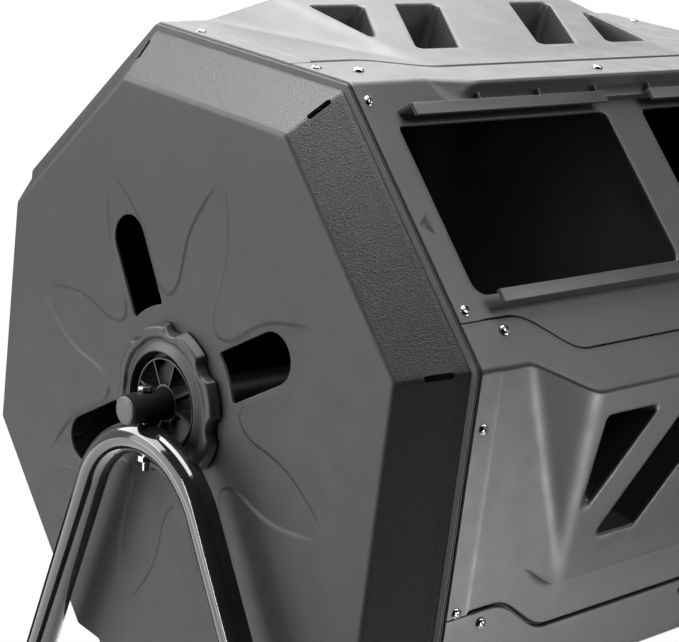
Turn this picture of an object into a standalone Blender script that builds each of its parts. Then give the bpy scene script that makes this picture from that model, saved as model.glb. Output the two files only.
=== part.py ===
"""Dual-chamber compost tumbler: an eight-sided drum that spins on a steel axle between two A-frames.

Metres, +Z up, X along the axle, -Y the door side. The origin is on the floor under the drum's centre.
Each drum piece is described on one of the drum's eight faces: x along the axle, s across the face
(growing towards the next face) and h the height above the face's datum plane.
"""
import math

import bmesh
import bpy
from mathutils import Matrix, Vector

# ---- driving dimensions -------------------------------------------------------------------------
GAP = 0.0003                      # clearance between pieces that touch
SIDES = 8
FACE_STEP = 2 * math.pi / SIDES
DRUM_TILT = math.radians(8.5)     # the drum stands turned this far towards the front
VERTEX_RADIUS = 0.300             # octagon's corner radius where the panels start
HALF_FACE = FACE_STEP / 2
APOTHEM = VERTEX_RADIUS * math.cos(HALF_FACE)
HALF_SIDE = VERTEX_RADIUS * math.sin(HALF_FACE)
WALL = 0.003                      # moulded wall

CAP_FACE_X = 0.3195               # half of the drum's length
CAP_DEPTH = 0.0424                # depth of the cap's slanted skirt
CAP_FACE_RADIUS = 0.2588          # corner radius of the cap's flat face
PANEL_END_X = CAP_FACE_X - CAP_DEPTH
LIP_LENGTH = 0.020                # cap's inner lip, under the panel ends

AXLE_HEIGHT = 0.655
AXLE_RADIUS = 0.0127
TUBE_WALL = 0.0012
AXLE_END_X = CAP_FACE_X + 0.0424
TUBE_SIDES = 24

LEG_X = CAP_FACE_X + 0.0241
LEG_RADIUS = 0.0127
LEG_SPREAD = math.radians(25.27)  # each leg's angle from vertical
LEG_BEND_TOP = -(AXLE_RADIUS + LEG_RADIUS + GAP)      # bend's centreline, from the axle
LEG_BEND_RADIUS = 0.0808
LEG_SIDES = 10
FOOT_LIFT = 0.012                 # height of the leg's cut end above the floor
FOOT_RADIUS = 0.0165
FOOT_LENGTH = 0.040

CROSSBAR_HEIGHT = 0.200
CROSSBAR_RADIUS = 0.0095

SKIN = WALL                       # outer surface of a panel's main area
STRIP = -GAP                      # outer surface of the strip that the next panel's flange covers
RAMP_OUTER_X = 0.2285             # seams and folds swing outwards between these two stations
RAMP_INNER_X = 0.1635
SEAM_SWING_MIN = 0.080            # flange edge on the previous face, at the ends
SEAM_SWING_MAX = 0.113            # and in the middle
FOLD_SWING_MAX = 0.148            # raised fold, on the previous face's plane
JOGGLE_BACK = 0.002               # step down to the covered strip, before the flange edge
JOGGLE_RUN = 0.0015
STRIP_INSET_END = 0.0028          # covered strip stops this far short of the fold, at the ends
STRIP_INSET_MIDDLE = 0.008
WEDGE_TAIL_S = 0.056              # where the raised wedge fades into the face
WEDGE_TAIL_X = 0.146

POCKET_FLOOR = -0.040             # bottom of a mixing pocket, from the datum plane
POCKET_TOP = 0.045
POCKET_DRAFT = 0.16               # inward slope of the pocket walls
POCKET_WIDTH = 0.042
POCKET_NEAR_S = -0.0675
POCKET_FAR_S = 0.0335
POCKET_BAR_X = -0.0115            # inner corner of the parallelogram pocket
POCKET_SLANT = 0.0708
POCKET_CENTRE_S = (POCKET_NEAR_S + POCKET_FAR_S) / 2

DOOR_SEAM_MIN = 0.050
DOOR_SEAM_MAX = 0.0825
DOOR_FOLD_MAX = 0.131
DOOR_RAMP_OUTER_X = 0.202
DOOR_RAMP_INNER_X = 0.162
OPENING_LENGTH = 0.223
OPENING_GAP = 0.044               # panel left between the two openings
OPENING_S = (-0.0775, 0.0585)
OPENING_CORNER = 0.012
RAIL_SPAN = 0.211
RAIL_GAP = 0.056
RAIL_HEIGHT = 0.012
RAIL_WALL = 0.0025
TOP_RAIL_S = -0.0895
BOTTOM_RAIL_S = 0.073
RAIL_LIP = 0.0100
RAIL_SLANT = 0.0058
GUSSET_PITCH = 0.0667
GUSSET_WALL = 0.002

DOOR_LENGTH = 0.235
DOOR_WALL = 0.0025
DOOR_PARKED_X = 0.203            # centre of the door when it is slid out over the far end
DOOR_EDGE_CLEARANCE = 0.0008

KNOB_RADIUS = 0.0640
KNOB_LOBE = 0.0050
KNOB_TURN = math.radians(9.5)      # where the first notch stands, from the rear
KNOB_THICKNESS = 0.0095
HUB_BORE_RADIUS = 0.0416
WHEEL_RADIUS = 0.0410
WHEEL_RECESS = 0.0033             # wheel's front, behind the knob's
WHEEL_WALL = 0.0030
WHEEL_BOSS_RADIUS = 0.0157
WHEEL_BORE_RADIUS = 0.0131
SPOKES = 8
SPOKE_WALL = 0.0030

SCREW_HEAD_RADIUS = 0.0046
SCREW_HEAD_HEIGHT = 0.0026
SCREW_SHANK_RADIUS = 0.0019
SCREW_LENGTH = 0.011
SCREW_HOLE_RADIUS = 0.0026
SCREW_SIDES = 6

BOLT_RADIUS = 0.0030
BOLT_HOLE_RADIUS = 0.0034
BOLT_HEAD_RADIUS = 0.0056
BOLT_HEAD_HEIGHT = 0.0040
NUT_HEIGHT = 0.0050
NUT_RADIUS = 0.0062
NUT_BORE_RADIUS = 0.0038
NUT_GAP = 0.0009                  # the bend falls away beside the nut's middle

FACE_NAMES = ("top_panel", "door_panel", "front_panel", "lower_front_panel",
              "bottom_panel", "lower_rear_panel", "rear_panel", "upper_rear_panel")
DOOR_FACE = 1


# ---- scene, materials and small helpers ---------------------------------------------------------
def clear_scene():
    for obj in list(bpy.data.objects):
        bpy.data.objects.remove(obj, do_unlink=True)


def make_material(name, colour, roughness, metallic=0.0):
    material = bpy.data.materials.new(name)
    material.use_nodes = True
    shader = material.node_tree.nodes["Principled BSDF"]
    shader.inputs["Base Color"].default_value = (*colour, 1.0)
    shader.inputs["Roughness"].default_value = roughness
    shader.inputs["Metallic"].default_value = metallic
    return material


def add_empty(name, location):
    empty = bpy.data.objects.new(name, None)
    empty.location = location
    bpy.context.collection.objects.link(empty)
    return empty


def add_mesh(name, bm, material, parent=None, smooth=False):
    """Turn a bmesh into an object whose faces point outwards."""
    bmesh.ops.recalc_face_normals(bm, faces=bm.faces)
    mesh = bpy.data.meshes.new(name)
    bm.to_mesh(mesh)
    bm.free()
    obj = bpy.data.objects.new(name, mesh)
    obj.parent = parent
    bpy.context.collection.objects.link(obj)
    if material is None:
        obj.hide_render = True
        obj.display_type = "WIRE"
    else:
        mesh.materials.append(material)
    if smooth:
        mesh.shade_smooth()
        mesh.set_sharp_from_angle(angle=math.radians(40))
    return obj


def add_boolean(obj, operation, tool):
    modifier = obj.modifiers.new(operation.title(), "BOOLEAN")
    modifier.operation = operation
    modifier.solver = "EXACT"
    modifier.object = tool


def circle(radius, sides, turn=0.0):
    """Points of a circle as (a, b) pairs."""
    angles = [turn + 2 * math.pi * k / sides for k in range(sides)]
    return [(radius * math.cos(a), radius * math.sin(a)) for a in angles]


def loft(bm, rings, closed=False):
    """Join rings of equal length into a closed body; closed=True also joins the last ring to the first."""
    loops = [[bm.verts.new(p) for p in ring] for ring in rings]
    pairs = list(zip(loops, loops[1:]))
    if closed:
        pairs.append((loops[-1], loops[0]))
    for lower, upper in pairs:
        count = len(lower)
        for k in range(count):
            m = (k + 1) % count
            bm.faces.new((lower[k], lower[m], upper[m], upper[k]))
    if not closed:
        bm.faces.new(loops[0][::-1])
        bm.faces.new(loops[-1])


def add_prism(bm, outline, place_low, place_high):
    """Extrude an outline of (a, b) pairs between two placing functions."""
    loft(bm, [[place_low(a, b) for a, b in outline], [place_high(a, b) for a, b in outline]])


# ---- the drum's faces ---------------------------------------------------------------------------
def face_axes(face):
    angle = FACE_STEP * face + DRUM_TILT
    normal = Vector((0, -math.sin(angle), math.cos(angle)))
    across = Vector((0, -math.cos(angle), -math.sin(angle)))
    return normal, across


def on_face(face, x, s, h):
    normal, across = face_axes(face)
    return Vector((x, 0, 0)) + normal * (APOTHEM + h) + across * s


def octagon(x, radius):
    """Corners of the drum's octagon at one station along the axle."""
    corners = []
    for k in range(SIDES):
        angle = FACE_STEP * (k + 0.5) + DRUM_TILT
        corners.append(Vector((x, -radius * math.sin(angle), radius * math.cos(angle))))
    return corners


def offset_profile(points, distance):
    """Move an open profile of Vectors towards the axle by a distance, mitred, x unchanged."""
    flat = [Vector((p.y, p.z)) for p in points]
    normals = []
    for a, b in zip(flat, flat[1:]):
        run = (b - a).normalized()
        side = Vector((run.y, -run.x))
        if side.dot(a + b) > 0:
            side = -side
        normals.append(side)
    moved = []
    for k, p in enumerate(flat):
        before = normals[max(k - 1, 0)]
        after = normals[min(k, len(normals) - 1)]
        middle = (before + after).normalized()
        moved.append(p + middle * (distance / middle.dot(after)))
    return [Vector((q.x, m.x, m.y)) for q, m in zip(points, moved)]


def lead_seam(face):
    """(end, middle) place of the flange edge that this face's panel lays on the previous face."""
    return (DOOR_SEAM_MIN, DOOR_SEAM_MAX) if face == DOOR_FACE else (SEAM_SWING_MIN, SEAM_SWING_MAX)


def lead_ramp(face):
    return (DOOR_RAMP_OUTER_X, DOOR_RAMP_INNER_X) if face == DOOR_FACE else (RAMP_OUTER_X, RAMP_INNER_X)


def plain_fold():
    """Corner between two neighbouring main surfaces, from the middle of the first."""
    return (APOTHEM + SKIN) * math.tan(HALF_FACE)


def lead_fold(face):
    return plain_fold(), DOOR_FOLD_MAX if face == DOOR_FACE else FOLD_SWING_MAX


def panel_sections(face):
    """Outer profiles of a panel: (station, raised) from one end to the other, six points each."""
    before = (face - 1) % SIDES
    after = (face + 1) % SIDES
    outer, inner = lead_ramp(face)
    next_outer, next_inner = lead_ramp(after)
    tail_x = DOOR_RAMP_INNER_X + 0.024 if face == DOOR_FACE else WEDGE_TAIL_X
    tail_s = TOP_RAIL_S - 0.004 if face == DOOR_FACE else WEDGE_TAIL_S
    sections = []
    for side, raised in ((-1, None), (-1, 0), (-1, 1), (1, 1), (1, 0), (1, None)):
        middle = raised == 1
        seam = lead_seam(face)[middle]
        fold = lead_fold(face)[middle]
        joggle = lead_seam(after)[middle] - JOGGLE_BACK
        strip_end = lead_fold(after)[middle] - (STRIP_INSET_MIDDLE if middle else STRIP_INSET_END)
        end_x = side * (PANEL_END_X - GAP)
        lead_x = end_x if raised is None else side * (inner if middle else outer)
        next_x = end_x if raised is None else side * (next_inner if middle else next_outer)
        middle_tail_x = side * tail_x if middle else lead_x
        tail = tail_s if middle else min(tail_s, joggle - 0.008)
        sections.append([
            on_face(before, lead_x, seam, SKIN),
            on_face(before, lead_x, fold, SKIN),
            on_face(face, middle_tail_x, tail, SKIN),
            on_face(face, next_x, joggle, SKIN),
            on_face(face, next_x, joggle + JOGGLE_RUN, STRIP),
            on_face(face, next_x, strip_end, STRIP),
        ])
    return sections


def add_panel_shell(bm, face):
    """Closed shell of one panel: outer profiles, their inward offsets, and the facets between them."""
    sections = panel_sections(face)
    rings = []
    for outer in sections:
        inner = offset_profile(outer, WALL)
        rings.append([bm.verts.new(p) for p in outer] + [bm.verts.new(p) for p in reversed(inner)])
    count = len(rings[0])
    fold_edges = {1, count - 3}                     # fold to tail, outside and inside
    for index, (left, right) in enumerate(zip(rings, rings[1:])):
        for k in range(count):
            m = (k + 1) % count
            quad = (left[k], left[m], right[m], right[k])
            if k not in fold_edges or index not in (1, 3):
                bm.faces.new(quad)
                continue
            fold_first = k == 1
            rising = index == 1
            split_from_left_start = fold_first != rising
            if split_from_left_start:
                bm.faces.new((left[m], right[m], right[k]))
                bm.faces.new((left[k], left[m], right[k]))
            else:
                bm.faces.new((left[k], left[m], right[m]))
                bm.faces.new((left[k], right[m], right[k]))
    bm.faces.new(rings[0])
    bm.faces.new(rings[-1][::-1])


def wedge_height(s):
    """Height of the raised wedge's outer surface in the middle stretch of a fin panel."""
    beyond = FOLD_SWING_MAX - HALF_SIDE
    fold_s = -HALF_SIDE + beyond * math.cos(FACE_STEP) - SKIN * math.sin(FACE_STEP)
    fold_h = beyond * math.sin(FACE_STEP) + SKIN * math.cos(FACE_STEP)
    return SKIN + (fold_h - SKIN) * (WEDGE_TAIL_S - s) / (WEDGE_TAIL_S - fold_s)


def pocket_outlines():
    """Four slanted pockets (x, s): a triangle and a parallelogram, then the same turned half a turn."""
    triangle = [(-0.1530, POCKET_NEAR_S), (-0.1010, POCKET_NEAR_S), (-0.1520, 0.006)]
    bar = [(POCKET_BAR_X - POCKET_WIDTH, POCKET_NEAR_S), (POCKET_BAR_X, POCKET_NEAR_S),
           (POCKET_BAR_X - POCKET_SLANT, POCKET_FAR_S),
           (POCKET_BAR_X - POCKET_SLANT - POCKET_WIDTH, POCKET_FAR_S)]
    turned = [[(-x, 2 * POCKET_CENTRE_S - s) for x, s in outline] for outline in (bar, triangle)]
    return [triangle, bar] + turned


def inset_outline(outline, distance):
    """Shrink a convex outline by a distance (negative grows it)."""
    centre = Vector((sum(p[0] for p in outline), sum(p[1] for p in outline))) / len(outline)
    points = [Vector(p) for p in outline]
    count = len(points)
    lines = []
    for k in range(count):
        a, b = points[k], points[(k + 1) % count]
        run = (b - a).normalized()
        side = Vector((-run.y, run.x))
        if side.dot(centre - a) < 0:
            side = -side
        lines.append((a + side * distance, run))
    moved = []
    for k in range(count):
        (p, u), (q, v) = lines[k - 1], lines[k]
        t = (q - p).cross(v) / u.cross(v)
        moved.append(tuple(p + u * t))
    return moved


def add_pocket_bodies(bm, face, grow):
    """Drafted bodies of the four pockets; grow adds the pocket's wall round them."""
    for outline in pocket_outlines():
        def section(h):
            return inset_outline(outline, -POCKET_DRAFT * h - grow)
        bottom = POCKET_FLOOR - grow
        low = [on_face(face, x, s, bottom) for x, s in section(bottom)]
        if grow == 0:
            high = [on_face(face, x, s, POCKET_TOP) for x, s in section(POCKET_TOP)]
        else:
            high = [on_face(face, x, s, wedge_height(s) - WALL / 2) for x, s in section(0.010)]
        loft(bm, [low, high])


def screw_stations(face):
    """(x, s) on the previous face of the three screws through this panel's leading flange."""
    seam_end, seam_middle = lead_seam(face)
    end_x = PANEL_END_X - 0.037
    end_s = seam_end + (0.034 if face == DOOR_FACE else 0.0095)
    middle_s = seam_middle + (0.028 if face == DOOR_FACE else 0.0100)
    return [(-end_x, end_s), (0.0, middle_s), (end_x, end_s)]


def add_screw_holes(bm, face, screw_face):
    """Clearance drills through the flange of screw_face's panel and the strip below it."""
    for x, s in screw_stations(screw_face):
        drill = circle(SCREW_HOLE_RADIUS, SCREW_SIDES)
        loft(bm, [[on_face(face, x + a, s + b, h) for a, b in drill] for h in (-0.012, 0.010)])


# ---- drum pieces --------------------------------------------------------------------------------
def build_fin_panel(face, plastic, drum):
    """Panel with a raised wedge behind its leading fold and four pockets that mix the compost."""
    bm = bmesh.new()
    add_panel_shell(bm, face)
    panel = add_mesh(FACE_NAMES[face], bm, plastic, drum)
    for operation, grow in (("UNION", WALL), ("DIFFERENCE", 0.0)):
        bm = bmesh.new()
        add_pocket_bodies(bm, face, grow)
        add_boolean(panel, operation, add_mesh(f"cutter_{FACE_NAMES[face]}_{operation.lower()}", bm, None, drum))
    drill_panel(panel, face, drum)


def drill_panel(panel, face, drum):
    bm = bmesh.new()
    add_screw_holes(bm, (face - 1) % SIDES, face)
    add_screw_holes(bm, face, (face + 1) % SIDES)
    add_boolean(panel, "DIFFERENCE", add_mesh(f"cutter_{FACE_NAMES[face]}_drill", bm, None, drum))


def opening_spans():
    """x range of the two door openings."""
    inner = OPENING_GAP / 2
    outer = inner + OPENING_LENGTH
    return [(-outer, -inner), (inner, outer)]


def rail_spans():
    inner = RAIL_GAP / 2
    outer = inner + RAIL_SPAN
    return [(-outer, -inner), (inner, outer)]


def rounded_rectangle(x_range, s_range, radius, steps=4):
    points = []
    corners = [(x_range[1], s_range[1], 0), (x_range[0], s_range[1], 1),
               (x_range[0], s_range[0], 2), (x_range[1], s_range[0], 3)]
    for x, s, quarter in corners:
        cx = x - radius if quarter in (0, 3) else x + radius
        cs = s - radius if quarter in (0, 1) else s + radius
        for k in range(steps + 1):
            angle = math.pi / 2 * (quarter + k / steps)
            points.append((cx + radius * math.cos(angle), cs + radius * math.sin(angle)))
    return points


def add_rail(bm, x_range, web_s, direction):
    """L-section rail: a web standing on the panel and a lip over the door's edge, ends cut at a slant."""
    foot = SKIN - WALL / 2
    top = SKIN + RAIL_HEIGHT
    under = top - RAIL_WALL
    web = web_s + direction * RAIL_WALL
    tip = web_s + direction * RAIL_LIP
    profile = [(web_s, foot), (web, foot), (web, under), (tip, under), (tip, top), (web_s, top)]
    rings = []
    for x, sign in zip(x_range, (-1, 1)):
        ring = []
        for s, h in profile:
            slant = RAIL_SLANT * (top - h) / RAIL_HEIGHT
            ring.append(on_face(DOOR_FACE, x + sign * slant, s, h))
        rings.append(ring)
    loft(bm, rings)


def build_door_panel(plastic, drum):
    """Panel of the door face: two openings, four rails and the gussets behind the upper rails."""
    bm = bmesh.new()
    add_panel_shell(bm, DOOR_FACE)
    panel = add_mesh(FACE_NAMES[DOOR_FACE], bm, plastic, drum)

    for index, x_range in enumerate(rail_spans()):
        for name, web_s, direction in (("top", TOP_RAIL_S, 1), ("bottom", BOTTOM_RAIL_S, -1)):
            bm = bmesh.new()
            add_rail(bm, x_range, web_s, direction)
            add_boolean(panel, "UNION", add_mesh(f"cutter_rail_{name}_{index}", bm, None, drum))

    bm = bmesh.new()
    for number in range(6):
        x = (number - 2.5) * GUSSET_PITCH
        profile = [(TOP_RAIL_S - 0.0085, SKIN - 0.001), (TOP_RAIL_S + 0.001, SKIN - 0.001),
                   (TOP_RAIL_S + 0.001, SKIN + 0.006), (TOP_RAIL_S - 0.0085, SKIN + 0.0075)]
        loft(bm, [[on_face(DOOR_FACE, x + side * GUSSET_WALL / 2, s, h) for s, h in profile]
                  for side in (-1, 1)])
    add_boolean(panel, "UNION", add_mesh("cutter_gussets", bm, None, drum))

    bm = bmesh.new()
    bridge_low = TOP_RAIL_S + 0.0003
    bridge_high = TOP_RAIL_S + RAIL_WALL - 0.0003
    bridge = [(bridge_low, SKIN - 0.0012), (bridge_high, SKIN - 0.0012),
              (bridge_high, SKIN + 0.0062), (bridge_low, SKIN + 0.0062)]
    loft(bm, [[on_face(DOOR_FACE, x, s, h) for s, h in bridge]
              for x in (rail_spans()[0][1] - 0.004, rail_spans()[1][0] + 0.004)])
    add_boolean(panel, "UNION", add_mesh("cutter_rail_bridge", bm, None, drum))

    bm = bmesh.new()
    for x_range in opening_spans():
        outline = rounded_rectangle(x_range, OPENING_S, OPENING_CORNER)
        add_prism(bm, outline, lambda x, s: on_face(DOOR_FACE, x, s, -0.010),
                  lambda x, s: on_face(DOOR_FACE, x, s, 0.0080))
    add_boolean(panel, "DIFFERENCE", add_mesh("cutter_openings", bm, None, drum))
    drill_panel(panel, DOOR_FACE, drum)


def build_sliding_door(plastic, door_origin):
    """Door plate with a raised centre and a finger grip; its origin is its own centre on the rails."""
    base = SKIN + GAP
    low = TOP_RAIL_S + RAIL_WALL + DOOR_EDGE_CLEARANCE
    high = BOTTOM_RAIL_S - RAIL_WALL - DOOR_EDGE_CLEARANCE
    half = DOOR_LENGTH / 2
    raise_low = low + 0.013
    raise_high = high - 0.013
    centre_rise = 0.005

    def ring(margin_x, s_low, s_high, h):
        corners = [(-half + margin_x, s_low), (half - margin_x, s_low),
                   (half - margin_x, s_high), (-half + margin_x, s_high)]
        return [on_face(DOOR_FACE, x, s, h) for x, s in corners]

    top = base + DOOR_WALL
    bm = bmesh.new()
    loft(bm, [
        ring(0.016, raise_low + 0.005, raise_high - 0.005, base + centre_rise),
        ring(0.013, raise_low + 0.001, raise_high - 0.001, base),
        ring(0.0, low, high, base),
        ring(0.0, low, high, top),
        ring(0.012, raise_low, raise_high, top),
        ring(0.015, raise_low + 0.004, raise_high - 0.004, top + centre_rise),
    ])
    door = add_mesh("sliding_door", bm, plastic, door_origin)
    bm = bmesh.new()
    grip_low = top + centre_rise - 0.001
    grip = [(half - 0.034, -0.040), (half - 0.026, -0.040), (half - 0.026, 0.024), (half - 0.034, 0.024)]
    add_prism(bm, grip, lambda x, s: on_face(DOOR_FACE, x, s, grip_low),
              lambda x, s: on_face(DOOR_FACE, x, s, grip_low + 0.010))
    add_boolean(door, "UNION", add_mesh("cutter_door_grip", bm, None, door_origin))


def slot_outline():
    """Elongated slot of the cap in (radius, width) terms: arc-shaped inner end, round outer end."""
    half_width = 0.0200
    inner_radius = 0.0775
    round_centre = 0.1350
    inner_angle = math.asin(half_width / inner_radius)
    points = []
    for k in range(5):
        angle = inner_angle * (1 - k / 2)
        points.append((inner_radius * math.cos(angle), inner_radius * math.sin(angle)))
    for k in range(9):
        angle = -math.pi / 2 + math.pi * k / 8
        points.append((round_centre + half_width * math.cos(angle), half_width * math.sin(angle)))
    return points


def build_end_cap(name, side, plastic, drum):
    """Dished octagonal cap: flat face, slanted skirt and an inner lip that the panels screw to."""
    lip_radius = (APOTHEM + STRIP - WALL - GAP) / math.cos(HALF_FACE)
    lip_end = PANEL_END_X - LIP_LENGTH
    face_in = CAP_FACE_X - WALL
    rings = [(CAP_FACE_X, CAP_FACE_RADIUS), (PANEL_END_X, VERTEX_RADIUS), (PANEL_END_X, lip_radius),
             (lip_end, lip_radius), (lip_end, lip_radius - WALL), (PANEL_END_X + 0.0019, lip_radius - WALL),
             (face_in, CAP_FACE_RADIUS - 0.0018)]
    bm = bmesh.new()
    loft(bm, [octagon(side * x, radius) for x, radius in rings])
    cap = add_mesh(name, bm, plastic, drum)

    bm = bmesh.new()
    low, high = side * (face_in - 0.004), side * (CAP_FACE_X + 0.004)
    hole = circle(HUB_BORE_RADIUS, 32)
    add_prism(bm, hole, lambda a, b: Vector((low, a, b)), lambda a, b: Vector((high, a, b)))
    for quarter in range(4):
        angle = DRUM_TILT + math.radians(-33.4 + 90 * quarter)
        radial = Vector((0, -math.sin(angle), math.cos(angle)))
        tangent = Vector((0, -math.cos(angle), -math.sin(angle)))
        add_prism(bm, slot_outline(),
                  lambda r, w: Vector((low, 0, 0)) + radial * r + tangent * w,
                  lambda r, w: Vector((high, 0, 0)) + radial * r + tangent * w)
    add_boolean(cap, "DIFFERENCE", add_mesh(f"cutter_{name}", bm, None, drum))


def build_divider(plastic, drum):
    """Wall between the two chambers; its rim follows the insides of the panels."""
    rim = []
    for face in range(SIDES):
        lead_s = -0.085
        lead_h = 0.0
        if face != DOOR_FACE:
            raised_s = -HALF_SIDE + (FOLD_SWING_MAX - HALF_SIDE) * math.sin(FACE_STEP)
            raised_h = (FOLD_SWING_MAX - HALF_SIDE) * math.sin(FACE_STEP)
            lead_h = raised_h * (WEDGE_TAIL_S - lead_s) / (WEDGE_TAIL_S - raised_s) - 0.0015
        rim.append((face, lead_s, lead_h - 0.0008))
        rim.append((face, 0.060, -0.0010))
        rim.append((face, 0.095, -0.0125))      # clears the seam screw
    bm = bmesh.new()
    loft(bm, [[on_face(face, side * WALL / 2, s, h) for face, s, h in rim] for side in (-1, 1)])
    divider = add_mesh("divider_panel", bm, plastic, drum)
    bm = bmesh.new()
    add_prism(bm, circle(WHEEL_BORE_RADIUS + 0.001, TUBE_SIDES), lambda a, b: Vector((-0.01, a, b)),
              lambda a, b: Vector((0.01, a, b)))
    add_boolean(divider, "DIFFERENCE", add_mesh("cutter_divider", bm, None, drum))


def build_hub_knob(name, side, plastic, drum):
    """Scalloped ring that clamps the bearing wheel to the cap."""
    steps = 48
    low = side * (CAP_FACE_X + GAP)
    high = side * (CAP_FACE_X + GAP + KNOB_THICKNESS)
    outline = []
    for k in range(steps):
        angle = 2 * math.pi * k / steps
        wave = math.cos(8 * (angle - KNOB_TURN))
        radius = KNOB_RADIUS - KNOB_LOBE * abs(wave) ** 3 * (1 if wave > 0 else 0)
        outline.append((radius * math.cos(angle), radius * math.sin(angle)))
    bore = circle(HUB_BORE_RADIUS, steps)
    bm = bmesh.new()
    loft(bm, [[Vector((low, a, b)) for a, b in outline], [Vector((high, a * 0.955, b * 0.955)) for a, b in outline],
              [Vector((high, a, b)) for a, b in bore], [Vector((low, a, b)) for a, b in bore]], closed=True)
    add_mesh(name, bm, plastic, drum)


def build_hub_bearing(name, side, plastic, drum):
    """Spoked wheel that turns on the axle: rim, eight spokes and a boss."""
    low = side * (CAP_FACE_X - 0.012)
    high = side * (CAP_FACE_X + KNOB_THICKNESS - WHEEL_RECESS)
    steps = 32
    bm = bmesh.new()
    loft(bm, [[Vector((x, a, b)) for a, b in circle(radius, steps)]
              for x, radius in ((low, WHEEL_RADIUS), (high, WHEEL_RADIUS),
                                (high, WHEEL_BORE_RADIUS), (low, WHEEL_BORE_RADIUS))], closed=True)
    wheel = add_mesh(name, bm, plastic, drum)
    bm = bmesh.new()
    for number in range(SPOKES):
        centre = math.radians(20 + 22.5) + 2 * math.pi * number / SPOKES
        outer = WHEEL_RADIUS - WHEEL_WALL
        points = []
        for radius, order in ((outer, 1), (WHEEL_BOSS_RADIUS, -1)):
            half = math.pi / SPOKES - math.asin(SPOKE_WALL / 2 / radius)
            arc = [centre - order * half + order * 2 * half * k / 3 for k in range(4)]
            points += [(radius * math.cos(a), radius * math.sin(a)) for a in arc]
        start, end = low - side * 0.004, high + side * 0.004
        add_prism(bm, points, lambda a, b: Vector((start, a, b)), lambda a, b: Vector((end, a, b)))
    add_boolean(wheel, "DIFFERENCE", add_mesh(f"cutter_{name}", bm, None, drum))


def build_screw(name, face, x, s, steel, drum):
    """Pan-head screw standing on the flange, its shank through the flange and the strip below."""
    seat = SKIN + GAP
    previous = (face - 1) % SIDES
    rings = [(SCREW_SHANK_RADIUS, seat - SCREW_LENGTH), (SCREW_SHANK_RADIUS, seat),
             (SCREW_HEAD_RADIUS, seat), (SCREW_HEAD_RADIUS * 0.93, seat + SCREW_HEAD_HEIGHT * 0.6),
             (SCREW_HEAD_RADIUS * 0.55, seat + SCREW_HEAD_HEIGHT)]
    bm = bmesh.new()
    loft(bm, [[on_face(previous, x + a, s + b, h) for a, b in circle(radius, SCREW_SIDES)] for radius, h in rings])
    add_mesh(name, bm, steel, drum)


# ---- stand pieces -------------------------------------------------------------------------------
def add_tube(bm, path, radius, sides, wall, side_hint):
    """Hollow tube along a path of Vectors that stays in one plane; side_hint is that plane's normal."""
    rings_out, rings_in = [], []
    for k, point in enumerate(path):
        before = path[max(k - 1, 0)]
        after = path[min(k + 1, len(path) - 1)]
        ahead = (after - before).normalized()
        up = ahead.cross(side_hint).normalized()
        turn = math.pi / sides
        for rings, size in ((rings_out, radius), (rings_in, radius - wall)):
            rings.append([point + side_hint * a + up * b for a, b in circle(size, sides, turn)])
    loft(bm, rings_out + rings_in[::-1], closed=True)


def leg_line(height):
    """Distance of a leg's centreline from the middle at a height."""
    apex = AXLE_HEIGHT + LEG_BEND_TOP - LEG_BEND_RADIUS + LEG_BEND_RADIUS / math.sin(LEG_SPREAD)
    return (apex - height) * math.tan(LEG_SPREAD)


def leg_path(x):
    centre = AXLE_HEIGHT + LEG_BEND_TOP - LEG_BEND_RADIUS
    sweep = math.pi / 2 - LEG_SPREAD
    steps = 12
    path = [Vector((x, -leg_line(FOOT_LIFT), FOOT_LIFT))]
    for k in range(steps + 1):
        angle = -sweep + 2 * sweep * k / steps
        path.append(Vector((x, LEG_BEND_RADIUS * math.sin(angle), centre + LEG_BEND_RADIUS * math.cos(angle))))
    path.append(Vector((x, leg_line(FOOT_LIFT), FOOT_LIFT)))
    return path


def add_rod(bm, start, end, radius, sides):
    """Solid round bar between two points."""
    ahead = (end - start).normalized()
    hint = Vector((1, 0, 0)) if abs(ahead.x) < 0.9 else Vector((0, 1, 0))
    u = ahead.cross(hint).normalized()
    v = ahead.cross(u)
    turn = math.pi / sides
    loft(bm, [[p + u * a + v * b for a, b in circle(radius, sides, turn)] for p in (start, end)])


def build_leg_frame(name, side, steel, stand):
    x = side * LEG_X
    bm = bmesh.new()
    add_tube(bm, leg_path(x), LEG_RADIUS, LEG_SIDES, TUBE_WALL, Vector((1, 0, 0)))
    frame = add_mesh(name, bm, steel, stand, smooth=True)
    bm = bmesh.new()
    top = AXLE_HEIGHT + LEG_BEND_TOP
    add_rod(bm, Vector((x, 0, top - 0.03)), Vector((x, 0, top + 0.02)), BOLT_HOLE_RADIUS, 8)
    for front in (-1, 1):
        y = front * leg_line(CROSSBAR_HEIGHT)
        add_rod(bm, Vector((x - 0.02, y, CROSSBAR_HEIGHT)), Vector((x + 0.02, y, CROSSBAR_HEIGHT)),
                BOLT_HOLE_RADIUS, 8)
    add_boolean(frame, "DIFFERENCE", add_mesh(f"cutter_{name}", bm, None, stand))


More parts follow.
